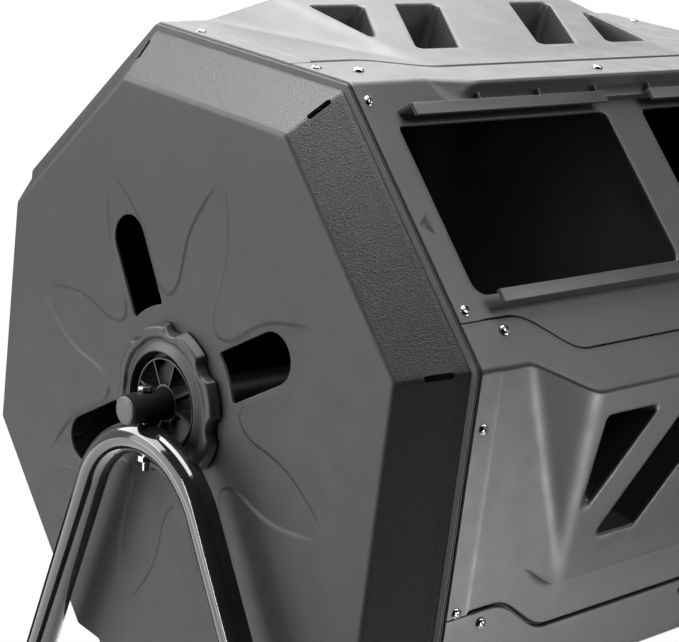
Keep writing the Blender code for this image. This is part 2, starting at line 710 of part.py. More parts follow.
def build_foot(name, side, front, rubber, stand):
    """Cup on the leg's end, cut flat where it stands on the floor."""
    direction = Vector((0, front * math.sin(LEG_SPREAD), -math.cos(LEG_SPREAD)))
    end = Vector((side * LEG_X, front * leg_line(FOOT_LIFT), FOOT_LIFT))
    bm = bmesh.new()
    add_rod(bm, end - direction * (FOOT_LENGTH - 0.012), end + direction * 0.030, FOOT_RADIUS, 16)
    cut = bmesh.ops.bisect_plane(bm, geom=bm.verts[:] + bm.edges[:] + bm.faces[:], plane_co=(0, 0, 0),
                                 plane_no=(0, 0, -1), clear_outer=True)
    edges = [item for item in cut["geom_cut"] if isinstance(item, bmesh.types.BMEdge)]
    bmesh.ops.contextual_create(bm, geom=edges)
    foot = add_mesh(name, bm, rubber, stand)
    bm = bmesh.new()
    add_rod(bm, end - direction * FOOT_LENGTH, end + direction * GAP, LEG_RADIUS + GAP, 16)
    add_boolean(foot, "DIFFERENCE", add_mesh(f"cutter_{name}", bm, None, stand))


def build_axle(steel, stand):
    bm = bmesh.new()
    ends = [Vector((-AXLE_END_X, 0, AXLE_HEIGHT)), Vector((AXLE_END_X, 0, AXLE_HEIGHT))]
    add_tube(bm, ends, AXLE_RADIUS, TUBE_SIDES, TUBE_WALL, Vector((0, 1, 0)))
    axle = add_mesh("axle_tube", bm, steel, stand, smooth=True)
    bm = bmesh.new()
    for side in (-1, 1):
        add_rod(bm, Vector((side * LEG_X, 0, AXLE_HEIGHT - 0.02)), Vector((side * LEG_X, 0, AXLE_HEIGHT + 0.02)),
                BOLT_HOLE_RADIUS, 8)
    add_boolean(axle, "DIFFERENCE", add_mesh("cutter_axle", bm, None, stand))


def build_axle_plug(name, side, plastic, stand):
    """Disc that closes the axle's end, with a short stem inside the tube."""
    stem = AXLE_RADIUS - TUBE_WALL - GAP
    stations = [(AXLE_END_X - 0.008, stem), (AXLE_END_X + GAP, stem), (AXLE_END_X + GAP, AXLE_RADIUS),
                (AXLE_END_X + 0.0018, AXLE_RADIUS), (AXLE_END_X + 0.0026, AXLE_RADIUS - 0.0012)]
    bm = bmesh.new()
    loft(bm, [[Vector((side * x, a, AXLE_HEIGHT + b)) for a, b in circle(radius, TUBE_SIDES, math.pi / TUBE_SIDES)]
              for x, radius in stations])
    add_mesh(name, bm, plastic, stand)


def build_crossbar(name, front, steel, stand):
    """Tube between the two frames; its closed ends are tapped for the bolts."""
    y = front * leg_line(CROSSBAR_HEIGHT)
    end_x = LEG_X - LEG_RADIUS - 0.0005
    stations = [(-end_x, CROSSBAR_RADIUS), (end_x, CROSSBAR_RADIUS), (end_x, BOLT_HOLE_RADIUS),
                (end_x - 0.012, BOLT_HOLE_RADIUS), (end_x - 0.012, CROSSBAR_RADIUS - TUBE_WALL),
                (-end_x + 0.012, CROSSBAR_RADIUS - TUBE_WALL), (-end_x + 0.012, BOLT_HOLE_RADIUS),
                (-end_x, BOLT_HOLE_RADIUS)]
    bm = bmesh.new()
    loft(bm, [[Vector((x, y + a, CROSSBAR_HEIGHT + b)) for a, b in circle(radius, LEG_SIDES)]
              for x, radius in stations], closed=True)
    add_mesh(name, bm, steel, stand, smooth=True)


def build_bolt(name, seat, direction, length, steel, stand):
    """Bolt with its head standing on seat and its shank running the other way."""
    bm = bmesh.new()
    head_end = seat + direction * BOLT_HEAD_HEIGHT
    hint = Vector((0, 1, 0))
    u = direction.cross(hint).normalized()
    v = direction.cross(u)
    tip = seat - direction * length
    stations = [(tip, BOLT_RADIUS), (seat, BOLT_RADIUS), (seat, BOLT_HEAD_RADIUS),
                (seat.lerp(head_end, 0.6), BOLT_HEAD_RADIUS * 0.95), (head_end, BOLT_HEAD_RADIUS * 0.5)]
    loft(bm, [[p + u * a + v * b for a, b in circle(radius, 8, math.pi / 8)] for p, radius in stations])
    add_mesh(name, bm, steel, stand)


def build_nut(name, x, top, steel, stand):
    """Hexagon nut under the frame's bend, round the axle bolt."""
    bm = bmesh.new()
    outer = circle(NUT_RADIUS, 6)
    bore = circle(NUT_BORE_RADIUS, 6)
    rings = [(outer, top), (outer, top - NUT_HEIGHT), (bore, top - NUT_HEIGHT), (bore, top)]
    loft(bm, [[Vector((x + a, b, z)) for a, b in outline] for outline, z in rings], closed=True)
    add_mesh(name, bm, steel, stand)


# ---- assembly -----------------------------------------------------------------------------------
def build_drum():
    shell = make_material("drum_plastic", (0.115, 0.115, 0.118), 0.55)
    hub = make_material("hub_plastic", (0.055, 0.055, 0.057), 0.45)
    screw_steel = make_material("screw_steel", (0.55, 0.55, 0.56), 0.25, 1.0)
    drum = add_empty("drum_pivot", (0, 0, AXLE_HEIGHT))
    for face in range(SIDES):
        if face != DOOR_FACE:
            build_fin_panel(face, shell, drum)
    build_door_panel(shell, drum)
    build_divider(shell, drum)
    for end, side in (("near", -1), ("far", 1)):
        build_end_cap(f"end_cap_{end}", side, shell, drum)
        build_hub_knob(f"hub_knob_{end}", side, hub, drum)
        build_hub_bearing(f"hub_bearing_{end}", side, hub, drum)
    for face in range(SIDES):
        for place, (x, s) in zip(("near", "middle", "far"), screw_stations(face)):
            name = FACE_NAMES[face].replace("_panel", "")
            build_screw(f"screw_{name}_{place}", face, x, s, screw_steel, drum)
    door_origin = add_empty("door_slide", (DOOR_PARKED_X, 0, 0))
    door_origin.parent = drum
    build_sliding_door(shell, door_origin)


def build_stand():
    tube = make_material("powder_coated_steel", (0.012, 0.012, 0.013), 0.18)
    plug = make_material("plug_plastic", (0.16, 0.16, 0.165), 0.5)
    rubber = make_material("foot_rubber", (0.02, 0.02, 0.02), 0.7)
    zinc = make_material("zinc_steel", (0.6, 0.6, 0.6), 0.25, 1.0)
    stand = add_empty("stand", (0, 0, 0))
    build_axle(tube, stand)
    for end, side in (("near", -1), ("far", 1)):
        build_leg_frame(f"leg_frame_{end}", side, tube, stand)
        build_axle_plug(f"axle_plug_{end}", side, plug, stand)
        bolt_top = Vector((side * LEG_X, 0, AXLE_HEIGHT + AXLE_RADIUS + GAP))
        build_bolt(f"axle_bolt_{end}", bolt_top, Vector((0, 0, 1)), 0.0640, zinc, stand)
        build_nut(f"axle_nut_{end}", side * LEG_X, AXLE_HEIGHT + LEG_BEND_TOP - LEG_RADIUS - NUT_GAP, zinc, stand)
        for place, front in (("front", -1), ("rear", 1)):
            build_foot(f"foot_{end}_{place}", side, front, rubber, stand)
            seat = Vector((side * (LEG_X + LEG_RADIUS + GAP), front * leg_line(CROSSBAR_HEIGHT), CROSSBAR_HEIGHT))
            build_bolt(f"crossbar_bolt_{end}_{place}", seat, Vector((side, 0, 0)), 0.0380, zinc, stand)
    for place, front in (("front", -1), ("rear", 1)):
        build_crossbar(f"crossbar_{place}", front, tube, stand)


clear_scene()
build_drum()
build_stand()
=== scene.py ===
"""Fine meshes, materials, studio light and camera for the dual-chamber compost tumbler.

Metres, in the CAD's frame: X along the axle, -Y the door side, +Z up. On each of the drum's eight
faces a point is (x, s, h): x along the axle, s across the face towards the next one, h above it.
"""
import math

import bmesh
import bpy
import numpy as np
from mathutils import Matrix, Vector
from mathutils.geometry import delaunay_2d_cdt


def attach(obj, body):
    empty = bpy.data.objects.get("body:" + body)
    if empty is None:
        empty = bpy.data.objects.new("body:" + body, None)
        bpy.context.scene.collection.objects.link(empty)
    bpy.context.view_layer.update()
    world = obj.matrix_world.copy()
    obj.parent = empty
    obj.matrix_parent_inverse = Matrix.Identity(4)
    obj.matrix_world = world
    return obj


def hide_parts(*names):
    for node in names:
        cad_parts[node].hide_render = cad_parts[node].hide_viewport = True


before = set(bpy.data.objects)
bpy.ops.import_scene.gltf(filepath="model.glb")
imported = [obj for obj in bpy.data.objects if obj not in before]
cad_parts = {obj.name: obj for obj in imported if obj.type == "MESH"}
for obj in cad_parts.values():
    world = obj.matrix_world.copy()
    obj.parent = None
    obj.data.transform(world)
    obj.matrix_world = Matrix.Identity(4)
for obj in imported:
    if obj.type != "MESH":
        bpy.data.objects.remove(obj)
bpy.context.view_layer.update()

# ---- the CAD's dimensions -----------------------------------------------------------------------
SIDES = 8
FACE_STEP = 2 * math.pi / SIDES
HALF_FACE = FACE_STEP / 2
DRUM_TILT = math.radians(8.5)
APOTHEM = 0.300 * math.cos(HALF_FACE)
HALF_SIDE = 0.300 * math.sin(HALF_FACE)
WALL = 0.003
SKIN = WALL
STRIP = -0.0003
GAP = 0.0003

CAP_FACE_X = 0.3195
CAP_DEPTH = 0.0424
CAP_FACE_APOTHEM = 0.2588 * math.cos(HALF_FACE)
PANEL_END_X = CAP_FACE_X - CAP_DEPTH

AXLE_HEIGHT = 0.655
AXLE_RADIUS = 0.0127
PLUG_RADIUS = 0.0112
AXLE_END_X = CAP_FACE_X + 0.0424
LEG_X = CAP_FACE_X + 0.0241
LEG_RADIUS = 0.0127
LEG_SPREAD = math.radians(25.27)
LEG_BEND_TOP = -(AXLE_RADIUS + LEG_RADIUS + GAP)
LEG_BEND_RADIUS = 0.0808
FOOT_LIFT = 0.012
FOOT_RADIUS = 0.0165
FOOT_LENGTH = 0.040
CROSSBAR_HEIGHT = 0.200
CROSSBAR_RADIUS = 0.0095
BOLT_RADIUS = 0.0030
BOLT_HEAD = (0.0058, 0.0038, 0.0008)                   # half width, height, chamfer
NUT_SIZE = (0.0062, 0.0046, 0.0008)
PLACES = (("front", -1), ("rear", 1))

KNOB_RADIUS = 0.0640
KNOB_LOBES = 8
KNOB_LOBE = 0.0056                                     # depth of the notches between the lobes
KNOB_COLLAR = 0.0500                                   # the knob is round inside this radius
KNOB_TURN = math.radians(9.5)
KNOB_THICKNESS = 0.0095
HUB_BORE_RADIUS = 0.0416
WHEEL_RADIUS = 0.0410
WHEEL_RECESS = 0.0033
SPOKES = 8
SPOKE_TURN = math.radians(20)
SPOKE_REACH = (0.0145, 0.0350)

POCKET_FLOOR = -0.040
POCKET_DRAFT = 0.16
POCKET_NEAR_S = -0.0675
POCKET_FAR_S = 0.0335
POCKET_CENTRE_S = (POCKET_NEAR_S + POCKET_FAR_S) / 2

OPENING_S = (-0.0775, 0.0615)
TOP_RAIL_S = -0.0895
BOTTOM_RAIL_S = 0.073
RAIL_HEIGHT = 0.012
RAIL_WALL = 0.0025
RAIL_LIP = 0.0100
RAIL_SLANT = 0.0058
GUSSET_PITCH = 0.0667
DOOR_LENGTH = 0.235
DOOR_PARKED_X = 0.203

FACE_NAMES = ("top_panel", "door_panel", "front_panel", "lower_front_panel",
              "bottom_panel", "lower_rear_panel", "rear_panel", "upper_rear_panel")
DOOR_FACE = 1
ENDS = (("near", -1), ("far", 1))


# ---- materials ----------------------------------------------------------------------------------
def add_object(name, data):
    obj = bpy.data.objects.new(name, data)
    bpy.context.scene.collection.objects.link(obj)
    return obj


def new_material(name):
    material = bpy.data.materials.new(name)
    material.use_nodes = True
    tree = material.node_tree
    return material, tree, tree.nodes["Principled BSDF"]


def add_noise(tree, scale, detail=3.0, roughness=0.5):
    """Noise in object space, in waves per metre."""
    place = tree.nodes.new("ShaderNodeTexCoord")
    noise = tree.nodes.new("ShaderNodeTexNoise")
    noise.inputs["Scale"].default_value = scale
    noise.inputs["Detail"].default_value = detail
    noise.inputs["Roughness"].default_value = roughness
    tree.links.new(place.outputs["Object"], noise.inputs["Vector"])
    return noise


def add_range(tree, source, low, high, from_low=0.3, from_high=0.7):
    remap = tree.nodes.new("ShaderNodeMapRange")
    remap.inputs["From Min"].default_value = from_low
    remap.inputs["From Max"].default_value = from_high
    remap.inputs["To Min"].default_value = low
    remap.inputs["To Max"].default_value = high
    tree.links.new(source, remap.inputs["Value"])
    return remap.outputs["Result"]


def add_colour_mix(tree, source, dark, light):
    ramp = tree.nodes.new("ShaderNodeValToRGB")
    ramp.color_ramp.elements[0].position = 0.30
    ramp.color_ramp.elements[0].color = (*dark, 1.0)
    ramp.color_ramp.elements[1].position = 0.70
    ramp.color_ramp.elements[1].color = (*light, 1.0)
    tree.links.new(source, ramp.inputs["Fac"])
    return ramp.outputs["Color"]


def colour_and_sheen(tree, shader, texture, colours, rough):
    """Base colour and roughness that both follow one texture."""
    source = texture.outputs["Fac"]
    tree.links.new(add_colour_mix(tree, source, *colours), shader.inputs["Base Color"])
    tree.links.new(add_range(tree, source, *rough), shader.inputs["Roughness"])


def add_bump(tree, source, strength, distance, before=None):
    bump = tree.nodes.new("ShaderNodeBump")
    bump.inputs["Strength"].default_value = strength
    bump.inputs["Distance"].default_value = distance
    tree.links.new(source, bump.inputs["Height"])
    if before is not None:
        tree.links.new(before, bump.inputs["Normal"])
    return bump.outputs["Normal"]


def moulded_plastic(name, dark, light, rough_low, rough_high, grain):
    """Charcoal plastic with a fine spark-eroded grain, cloudy colour and uneven sheen."""
    material, tree, shader = new_material(name)
    clouds = add_noise(tree, 14.0, 4.0)
    tree.links.new(add_colour_mix(tree, clouds.outputs["Fac"], dark, light), shader.inputs["Base Color"])
    sheen = add_noise(tree, 45.0, 3.0)
    tree.links.new(add_range(tree, sheen.outputs["Fac"], rough_low, rough_high), shader.inputs["Roughness"])
    fine = add_noise(tree, 900.0, 2.0)
    swell = add_noise(tree, 30.0, 2.0)
    slow = add_bump(tree, swell.outputs["Fac"], 0.03, 0.0004)
    normal = add_bump(tree, fine.outputs["Fac"], grain, 0.0003, slow)
    tree.links.new(normal, shader.inputs["Normal"])
    return material


def leather_grain(name, dark, light, rough_low, rough_high, cell, strength, specular):
    """The cap plastic with the coarse leather grain of the end caps' skirts, in the colours it is given; the
    skirts get darker ones as painted shade.
    """
    material, tree, shader = new_material(name)
    place = tree.nodes.new("ShaderNodeTexCoord")
    warp = add_noise(tree, cell * 0.6, 2.0)
    stir = tree.nodes.new("ShaderNodeMixRGB")
    stir.blend_type = "ADD"
    stir.inputs["Fac"].default_value = 0.0016
    tree.links.new(place.outputs["Object"], stir.inputs["Color1"])
    tree.links.new(warp.outputs["Color"], stir.inputs["Color2"])
    cells = tree.nodes.new("ShaderNodeTexVoronoi")
    cells.feature = "F1"
    cells.inputs["Scale"].default_value = cell
    tree.links.new(stir.outputs["Color"], cells.inputs["Vector"])
    fine = add_noise(tree, cell * 1.8, 3.0, 0.6)
    colour_and_sheen(tree, shader, fine, (dark, light), (rough_low, rough_high))
    coarse = add_bump(tree, cells.outputs["Distance"], strength, 0.0010)
    normal = add_bump(tree, fine.outputs["Fac"], strength, 0.0008, coarse)
    tree.links.new(normal, shader.inputs["Normal"])
    shader.inputs["Specular IOR Level"].default_value = specular
    return material


def gloss_enamel(name, colour, rough_low, rough_high, coat):
    """Black powder coat over steel tube, baked glossy when it has a coat."""
    material, tree, shader = new_material(name)
    clouds = add_noise(tree, 20.0, 3.0)
    light = tuple(c * 1.5 for c in colour)
    colour_and_sheen(tree, shader, clouds, (colour, light), (rough_low, rough_high))
    peel = add_noise(tree, 160.0, 2.0)
    tree.links.new(add_bump(tree, peel.outputs["Fac"], 0.10, 0.0002), shader.inputs["Normal"])
    shader.inputs["Coat Weight"].default_value = coat
    shader.inputs["Specular IOR Level"].default_value = 0.2 + 0.3 * coat
    shader.inputs["Coat Roughness"].default_value = 0.05
    return material


def bright_metal(name, colour, rough_low, rough_high):
    material, tree, shader = new_material(name)
    shader.inputs["Metallic"].default_value = 1.0
    clouds = add_noise(tree, 300.0, 3.0)
    dark = tuple(c * 0.8 for c in colour)
    colour_and_sheen(tree, shader, clouds, (dark, colour), (rough_low, rough_high))
    tree.links.new(add_bump(tree, clouds.outputs["Fac"], 0.15, 0.0001), shader.inputs["Normal"])
    return material


CHARCOAL_DARK = (0.021, 0.021, 0.022)
CHARCOAL_LIGHT = (0.026, 0.026, 0.027)
drum_plastic = moulded_plastic("drum_plastic_moulded", CHARCOAL_DARK, CHARCOAL_LIGHT, 0.37, 0.45, 0.08)
face_plastic = moulded_plastic("cap_face_moulded", CHARCOAL_DARK, CHARCOAL_LIGHT, 0.46, 0.54, 0.10)
# painted shade: the skirt gets about half the cap face's colour, for the shade the skirts sit in
skirt_plastic_painted_shade = leather_grain("cap_skirt_leather_painted_shade", (0.010, 0.010, 0.0105), (0.014, 0.014, 0.0145),
                              0.33, 0.43, 1000.0, 0.26, 0.75)
hub_plastic = moulded_plastic("hub_plastic_moulded", (0.023, 0.023, 0.024), (0.029, 0.029, 0.030),
                              0.38, 0.46, 0.06)
plug_plastic = moulded_plastic("plug_plastic_moulded", (0.085, 0.085, 0.087), (0.10, 0.10, 0.102),
                               0.45, 0.52, 0.08)
foot_plastic = moulded_plastic("foot_plastic_moulded", (0.018, 0.018, 0.018), (0.024, 0.024, 0.024),
                               0.55, 0.65, 0.15)
black_enamel = gloss_enamel("black_enamel_gloss", (0.010, 0.010, 0.010), 0.10, 0.16, 1.0)
matt_enamel = gloss_enamel("black_enamel_matt", (0.006, 0.006, 0.006), 0.46, 0.56, 0.0)
zinc_steel = bright_metal("zinc_plate", (0.62, 0.62, 0.63), 0.18, 0.30)
screw_steel = bright_metal("nickel_plate", (0.40, 0.40, 0.41), 0.12, 0.22)


# ---- gathering meshes ---------------------------------------------------------------------------
WELD = 2e-6                                            # points closer than this become one


class Body:
    """Points and faces gathered before they become one object."""

    def __init__(self):
        self.points = []
        self.faces = []
        self.marks = []
        self.count = 0

    def add(self, points):
        """Adds an array of points; returns their numbers."""
        points = np.asarray(points, float).reshape(-1, 3)
        self.points.append(points)
        numbers = np.arange(self.count, self.count + len(points))
        self.count += len(points)
        return numbers

    def face(self, corners, mark=0):
        self.faces.append([int(c) for c in corners])
        self.marks.append(mark)

    def band(self, ring, other, closed=True, mark=0):
        """Quads between two rings of equal length."""
        count = len(ring)
        for k in range(count if closed else count - 1):
            m = (k + 1) % count
            self.face((ring[k], ring[m], other[m], other[k]), mark)

    def grid(self, numbers, keep=None):
        """Quads over a table of point numbers; keep says which cells stay."""
        rows, columns = numbers.shape
        for i in range(rows - 1):
            for j in range(columns - 1):
                if keep is None or keep[i, j]:
                    upper, lower = numbers[i, j:j + 2], numbers[i + 1, j:j + 2]
                    self.face((upper[0], upper[1], lower[1], lower[0]))

    def triangles(self, numbers, table, mark=0):
        for a, b, c in table:
            self.face((numbers[a], numbers[b], numbers[c]), mark)

    def skin(self, rings):
        """Bands through rings of equal length; returns each ring's point numbers."""
        loops = [self.add(ring) for ring in rings]
        for lower, upper in zip(loops, loops[1:]):
            self.band(lower, upper)
        return loops

    def loft(self, rings, closed=False):
        """A closed body through rings of equal length, capped at both ends unless closed."""
        loops = self.skin(rings)
        if closed:
            self.band(loops[-1], loops[0])
        else:
            self.face(loops[0][::-1])
            self.face(loops[-1])

    def finish(self, name, materials, place=None, sharp=40):
        """Makes the object: welds the seams, turns the faces outwards and shades it smooth."""
        points = np.concatenate(self.points)
        if place is not None:
            points = place(points)
        mesh = bpy.data.meshes.new(name)
        mesh.from_pydata(points.tolist(), [], self.faces)
        for material in materials:
            mesh.materials.append(material)
        mesh.polygons.foreach_set("material_index", self.marks)
        bm = bmesh.new()
        bm.from_mesh(mesh)
        bmesh.ops.remove_doubles(bm, verts=bm.verts, dist=WELD)
        bmesh.ops.recalc_face_normals(bm, faces=bm.faces)
        bm.to_mesh(mesh)
        bm.free()
        mesh.shade_smooth()
        mesh.set_sharp_from_angle(angle=math.radians(sharp))
        return add_object(name, mesh)


def hand_over(obj, body, nodes):
    """The piece rides on its body and stands for its CAD nodes."""
    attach(obj, body)
    if nodes:
        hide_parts(*nodes)


def publish(body, node, ending, rides, materials, place=None, sharp=40):
    """Finishes the body as the piece that stands for one CAD node and hands it over."""
    obj = body.finish(f"{node}_{ending}", materials, place, sharp)
    hand_over(obj, rides, [node])
    return obj


def face_frame(face):
    angle = FACE_STEP * face + DRUM_TILT
    normal = np.array((0.0, -math.sin(angle), math.cos(angle)))
    across = np.array((0.0, -math.cos(angle), -math.sin(angle)))
    return normal, across


def on_face(face):
    """A placing function from (x, s, h) on a drum face to the row frame."""
    normal, across = face_frame(face)

    def place(points):
        placed = np.outer(points[:, 1], across) + np.outer(points[:, 2] + APOTHEM, normal)
        placed[:, 0] = points[:, 0]
        placed[:, 2] += AXLE_HEIGHT
        return placed
    return place


# ---- outlines and smooth joins ------------------------------------------------------------------
def smooth_min(a, b, radius):
    near = np.maximum(radius - np.abs(a - b), 0) / radius
    return np.minimum(a, b) - near * near * radius / 4


def smooth_max(a, b, radius):
    return -smooth_min(-a, -b, radius)


def smooth_step(t):
    t = np.clip(t, 0, 1)
    return t * t * (3 - 2 * t)


def rounded_ramp(x, outer, inner, soft):
    """0 outside the outer station and 1 inside the inner one, with rounded ends."""
    u = (outer - np.abs(x)) / (outer - inner)
    w = soft / (outer - inner)

    def area(v):
        v = np.maximum(v, 0)
        return np.where(v < 1, v * v / 2, v - 0.5)
    return (area(u + w) - area(u - w)) / (2 * w)


def quarter_turn(steps, first=0):
    """(sin, 1 - cos) at even steps up to a right angle, for rounded edges."""
    angles = [math.pi / 2 * k / steps for k in range(first, steps + 1)]
    return [(math.sin(angle), 1 - math.cos(angle)) for angle in angles]


def at_height(outline, h):
    """A flat outline's points, all at one height."""
    return np.column_stack((outline, np.full(len(outline), h)))


def offset_polygon(corners, distance):
    """Corners of a convex outline grown by a distance, and each edge's outward direction."""
    corners = np.asarray(corners, float)
    runs = np.roll(corners, -1, axis=0) - corners
    runs /= np.linalg.norm(runs, axis=1)[:, None]
    out = np.stack((runs[:, 1], -runs[:, 0]), axis=1)
    centre = corners.mean(0)
    out *= np.sign(((corners - centre) * out).sum(1))[:, None]
    before = np.roll(out, 1, axis=0)
    scale = distance / (1 + (out * before).sum(1))
    return corners + (out + before) * scale[:, None], out


def soft_outline(corners, grow, corner, arc_steps=5, edge_steps=10):
    """Outline of a convex polygon grown by a distance, its corners rounded by one or by their own radii."""
    count = len(corners)
    radii = np.full(count, corner) if np.isscalar(corner) else np.asarray(corner)
    out = offset_polygon(corners, 0.0)[1]
    centres = np.array([offset_polygon(corners, grow - radii[k])[0][k] for k in range(count)])
    points = []
    for k in range(count):
        start, end = out[k - 1], out[k]
        turn = math.atan2(start[0] * end[1] - start[1] * end[0], start @ end)
        for i in range(arc_steps + 1):
            angle = turn * i / arc_steps
            c, s = math.cos(angle), math.sin(angle)
            turned = np.array((c * start[0] - s * start[1], s * start[0] + c * start[1]))
            points.append(centres[k] + radii[k] * turned)
        first = points[-1]
        last = centres[(k + 1) % count] + radii[(k + 1) % count] * out[k]
        for i in range(1, edge_steps):
            points.append(first + (last - first) * i / edge_steps)
    return np.array(points)


def inside(points, loop):
    """Which points lie inside a closed loop."""
    x, y = points[:, 0][:, None], points[:, 1][:, None]
    a, b = loop, np.roll(loop, -1, axis=0)
    crosses = (a[:, 1] > y) != (b[:, 1] > y)
    rise = np.where(b[:, 1] == a[:, 1], 1e-12, b[:, 1] - a[:, 1])
    return ((crosses & (x < a[:, 0] + (y - a[:, 1]) / rise * (b[:, 0] - a[:, 0]))).sum(1) % 2).astype(bool)


BATCH = 256                                            # points compared at a time, to spare memory


def distance_to(points, loop):
    """Distance from each point to the nearest point of a loop."""
    best = np.full(len(points), np.inf)
    for start in range(0, len(loop), BATCH):
        part = loop[start:start + BATCH]
        gap = np.linalg.norm(points[:, None, :] - part[None, :, :], axis=2).min(1)
        best = np.minimum(best, gap)
    return best


def clear_of(points, loop, margin):
    """The points outside a hole's loop, by more than a margin."""
    near = inside(points, loop) | (distance_to(points, loop) < margin)
    return points[~near]


def table_outline(columns, rows):
    """Border of a table of stations, all the way round, and the points inside it."""
    border = [(c, rows[0]) for c in columns[:-1]] + [(columns[-1], r) for r in rows[:-1]]
    border += [(c, rows[-1]) for c in columns[:0:-1]] + [(columns[0], r) for r in rows[:0:-1]]
    return np.array(border), np.array([(c, r) for c in columns[1:-1] for r in rows[1:-1]])


def fill(border, holes, points):
    """Triangles over a convex border and scattered points, left open inside the holes."""
    loops = [border] + list(holes)
    everything = np.concatenate(loops + [points]) if len(points) else np.concatenate(loops)
    edges = []
    start = 0
    for loop in loops:
        count = len(loop)
        edges += [(start + k, start + (k + 1) % count) for k in range(count)]
        start += count
    found = delaunay_2d_cdt([Vector(p) for p in everything], edges, [], 1, 1e-7)
    flat = np.array([tuple(v) for v in found[0]])
    table = np.array([tuple(f) for f in found[2]])
    middles = flat[table].mean(1)
    keep = np.ones(len(table), bool)
    for hole in holes:
        keep &= ~inside(middles, hole)
    return flat, table[keep]


# ---- drum panels --------------------------------------------------------------------------------
TURN = math.sqrt(0.5)
LEAD_CORNER = (APOTHEM + SKIN) / TURN - APOTHEM        # height of the previous face's skin at s = 0
CREASE_X = 0.2575
EDGE_ROUND = 0.0008
GROOVE_THIN = 0.0009
GROOVE_STEP = 0.0032                                   # longest run of the step down into the groove
SEAM_SOFT = 0.012
MARK_DEPTH = 0.0006
MARK_HALF_WIDTH = 0.0010
MARK_END_S = 0.0455
MARK_SWING = 0.0230
PANEL_STEP = 0.0036


def from_previous(s, h):
    """(s, h) on the previous face's plane, in this face's own (s, h)."""
    beyond = s - HALF_SIDE
    return -HALF_SIDE + (beyond - h) * TURN, (beyond + h) * TURN


def following_of(lead):
    """What a panel needs to know of the next one's lead: its seam."""
    return lead[0], lead[1], lead[5], lead[6]


class PanelShape:
    """The moulded surface of one panel."""

    def __init__(self, lead, following, tail, ridge_round, fold_round, groove, pad):
        self.lead = lead                    # seam at ends and in middle, fold, fold's x pair, seam's x pair
        self.following = following          # the next panel's seam at ends and in middle, and its x pair
        self.tail_s, self.tail_x = tail
        self.ridge_round = ridge_round
        self.fold_round = fold_round
        self.groove = groove                # groove's width in the middle stretch
        self.pad = pad                      # how far the main area stands above the strips at its ends
        self.marked = pad > 0 and following[0] > 0.06
        fold_s, fold_h = from_previous(lead[2], SKIN)
        rise = fold_h - SKIN
        self.slope = rise / (self.tail_s - fold_s)
        low = (lead[3], -(APOTHEM + SKIN) * math.tan(HALF_FACE), 0.0)
        peak = (lead[4], fold_s, rise)
        foot = (self.tail_x, self.tail_s, 0.0)
        rows = np.array([(p[0], p[1], 1.0) for p in (low, peak, foot)])
        self.facet = np.linalg.solve(rows, np.array([p[2] for p in (low, peak, foot)]))

    def raised(self, x, s):
        wedge = self.slope * (self.tail_s - s)
        facet = self.facet[0] * np.abs(x) + self.facet[1] * s + self.facet[2]
        return smooth_max(smooth_min(wedge, facet, self.ridge_round), 0.0, self.ridge_round * 0.7)

    def lifted(self, x):
        return self.pad * smooth_step((CREASE_X + 0.0004 - np.abs(x)) / 0.0024)

    def mark_at(self, x):
        """The moulding mark that runs beside the next panel's flange."""
        return MARK_END_S + MARK_SWING * rounded_ramp(x, 0.2030, 0.1695, 0.010)

    def mark_depth(self, x, s):
        along = smooth_step((0.207 - np.abs(x)) / 0.022)
        along = along * (0.12 + 0.88 * smooth_step((np.abs(x) - 0.1640) / 0.010))
        return MARK_DEPTH * along * smooth_step(1 - np.abs(s - self.mark_at(x)) / MARK_HALF_WIDTH)

    def own_skin(self, x, s):
        return SKIN + self.raised(x, s) + self.lifted(x)

    def surface(self, x, s):
        """Height of the outer skin, the flange on the previous face included."""
        height = smooth_min(s + LEAD_CORNER, self.own_skin(x, s), self.fold_round)
        start, width = self.groove_at(x)
        down = smooth_step((s - start) / np.minimum(width * 0.75, GROOVE_STEP))
        if self.marked:
            height = height - self.mark_depth(x, s)
        return height - (SKIN + self.lifted(x) - STRIP) * down

    def seam(self, x):
        end, middle, outer, inner = following_of(self.lead)
        return end + (middle - end) * rounded_ramp(x, outer, inner, SEAM_SOFT)

    def groove_at(self, x):
        """Where the step down to the covered strip starts, and the gap left to the next flange."""
        end, middle, outer, inner = self.following
        edge = end + (middle - end) * rounded_ramp(x, outer, inner, SEAM_SOFT)
        width = GROOVE_THIN + (self.groove - GROOVE_THIN) * smooth_step((CREASE_X - np.abs(x)) / 0.003)
        return edge - width, width

    def fold(self, x):
        """Own s of the corner with the previous face's plane."""
        s = np.full_like(x, -(APOTHEM + SKIN) * math.tan(HALF_FACE))
        for _ in range(12):
            s = self.own_skin(x, s) - LEAD_CORNER
        return s


def edge_drop(left):
    """How far a skin drops in the rounding of its edge, at a distance from that edge."""
    inner = np.clip(EDGE_ROUND - left, 0, EDGE_ROUND)
    return EDGE_ROUND - np.sqrt(EDGE_ROUND ** 2 - inner ** 2)


def end_round(x):
    """The same at a panel's two ends."""
    return edge_drop(PANEL_END_X - GAP - np.abs(x))


def panel_columns(block_x):
    """Stations along the axle, symmetric, finer where the ends are rounded."""
    end = PANEL_END_X - GAP
    tail = [end - 0.0012, end - 0.0006, end - 0.0002, end]
    outside = np.linspace(block_x, end - 0.0012, int((end - block_x) / PANEL_STEP) + 1)[1:-1]
    crease = CREASE_X + np.array([-0.0020, -0.0014, -0.0008, -0.0002, 0.0004])
    outside = outside[np.min(np.abs(outside[:, None] - crease[None, :]), axis=1) > 0.0010]
    outside = np.sort(np.concatenate((outside, crease)))
    half = np.linspace(0, block_x, int(block_x / PANEL_STEP) + 1)
    right = np.concatenate((half, outside, tail))
    return np.concatenate((-right[:0:-1], right))


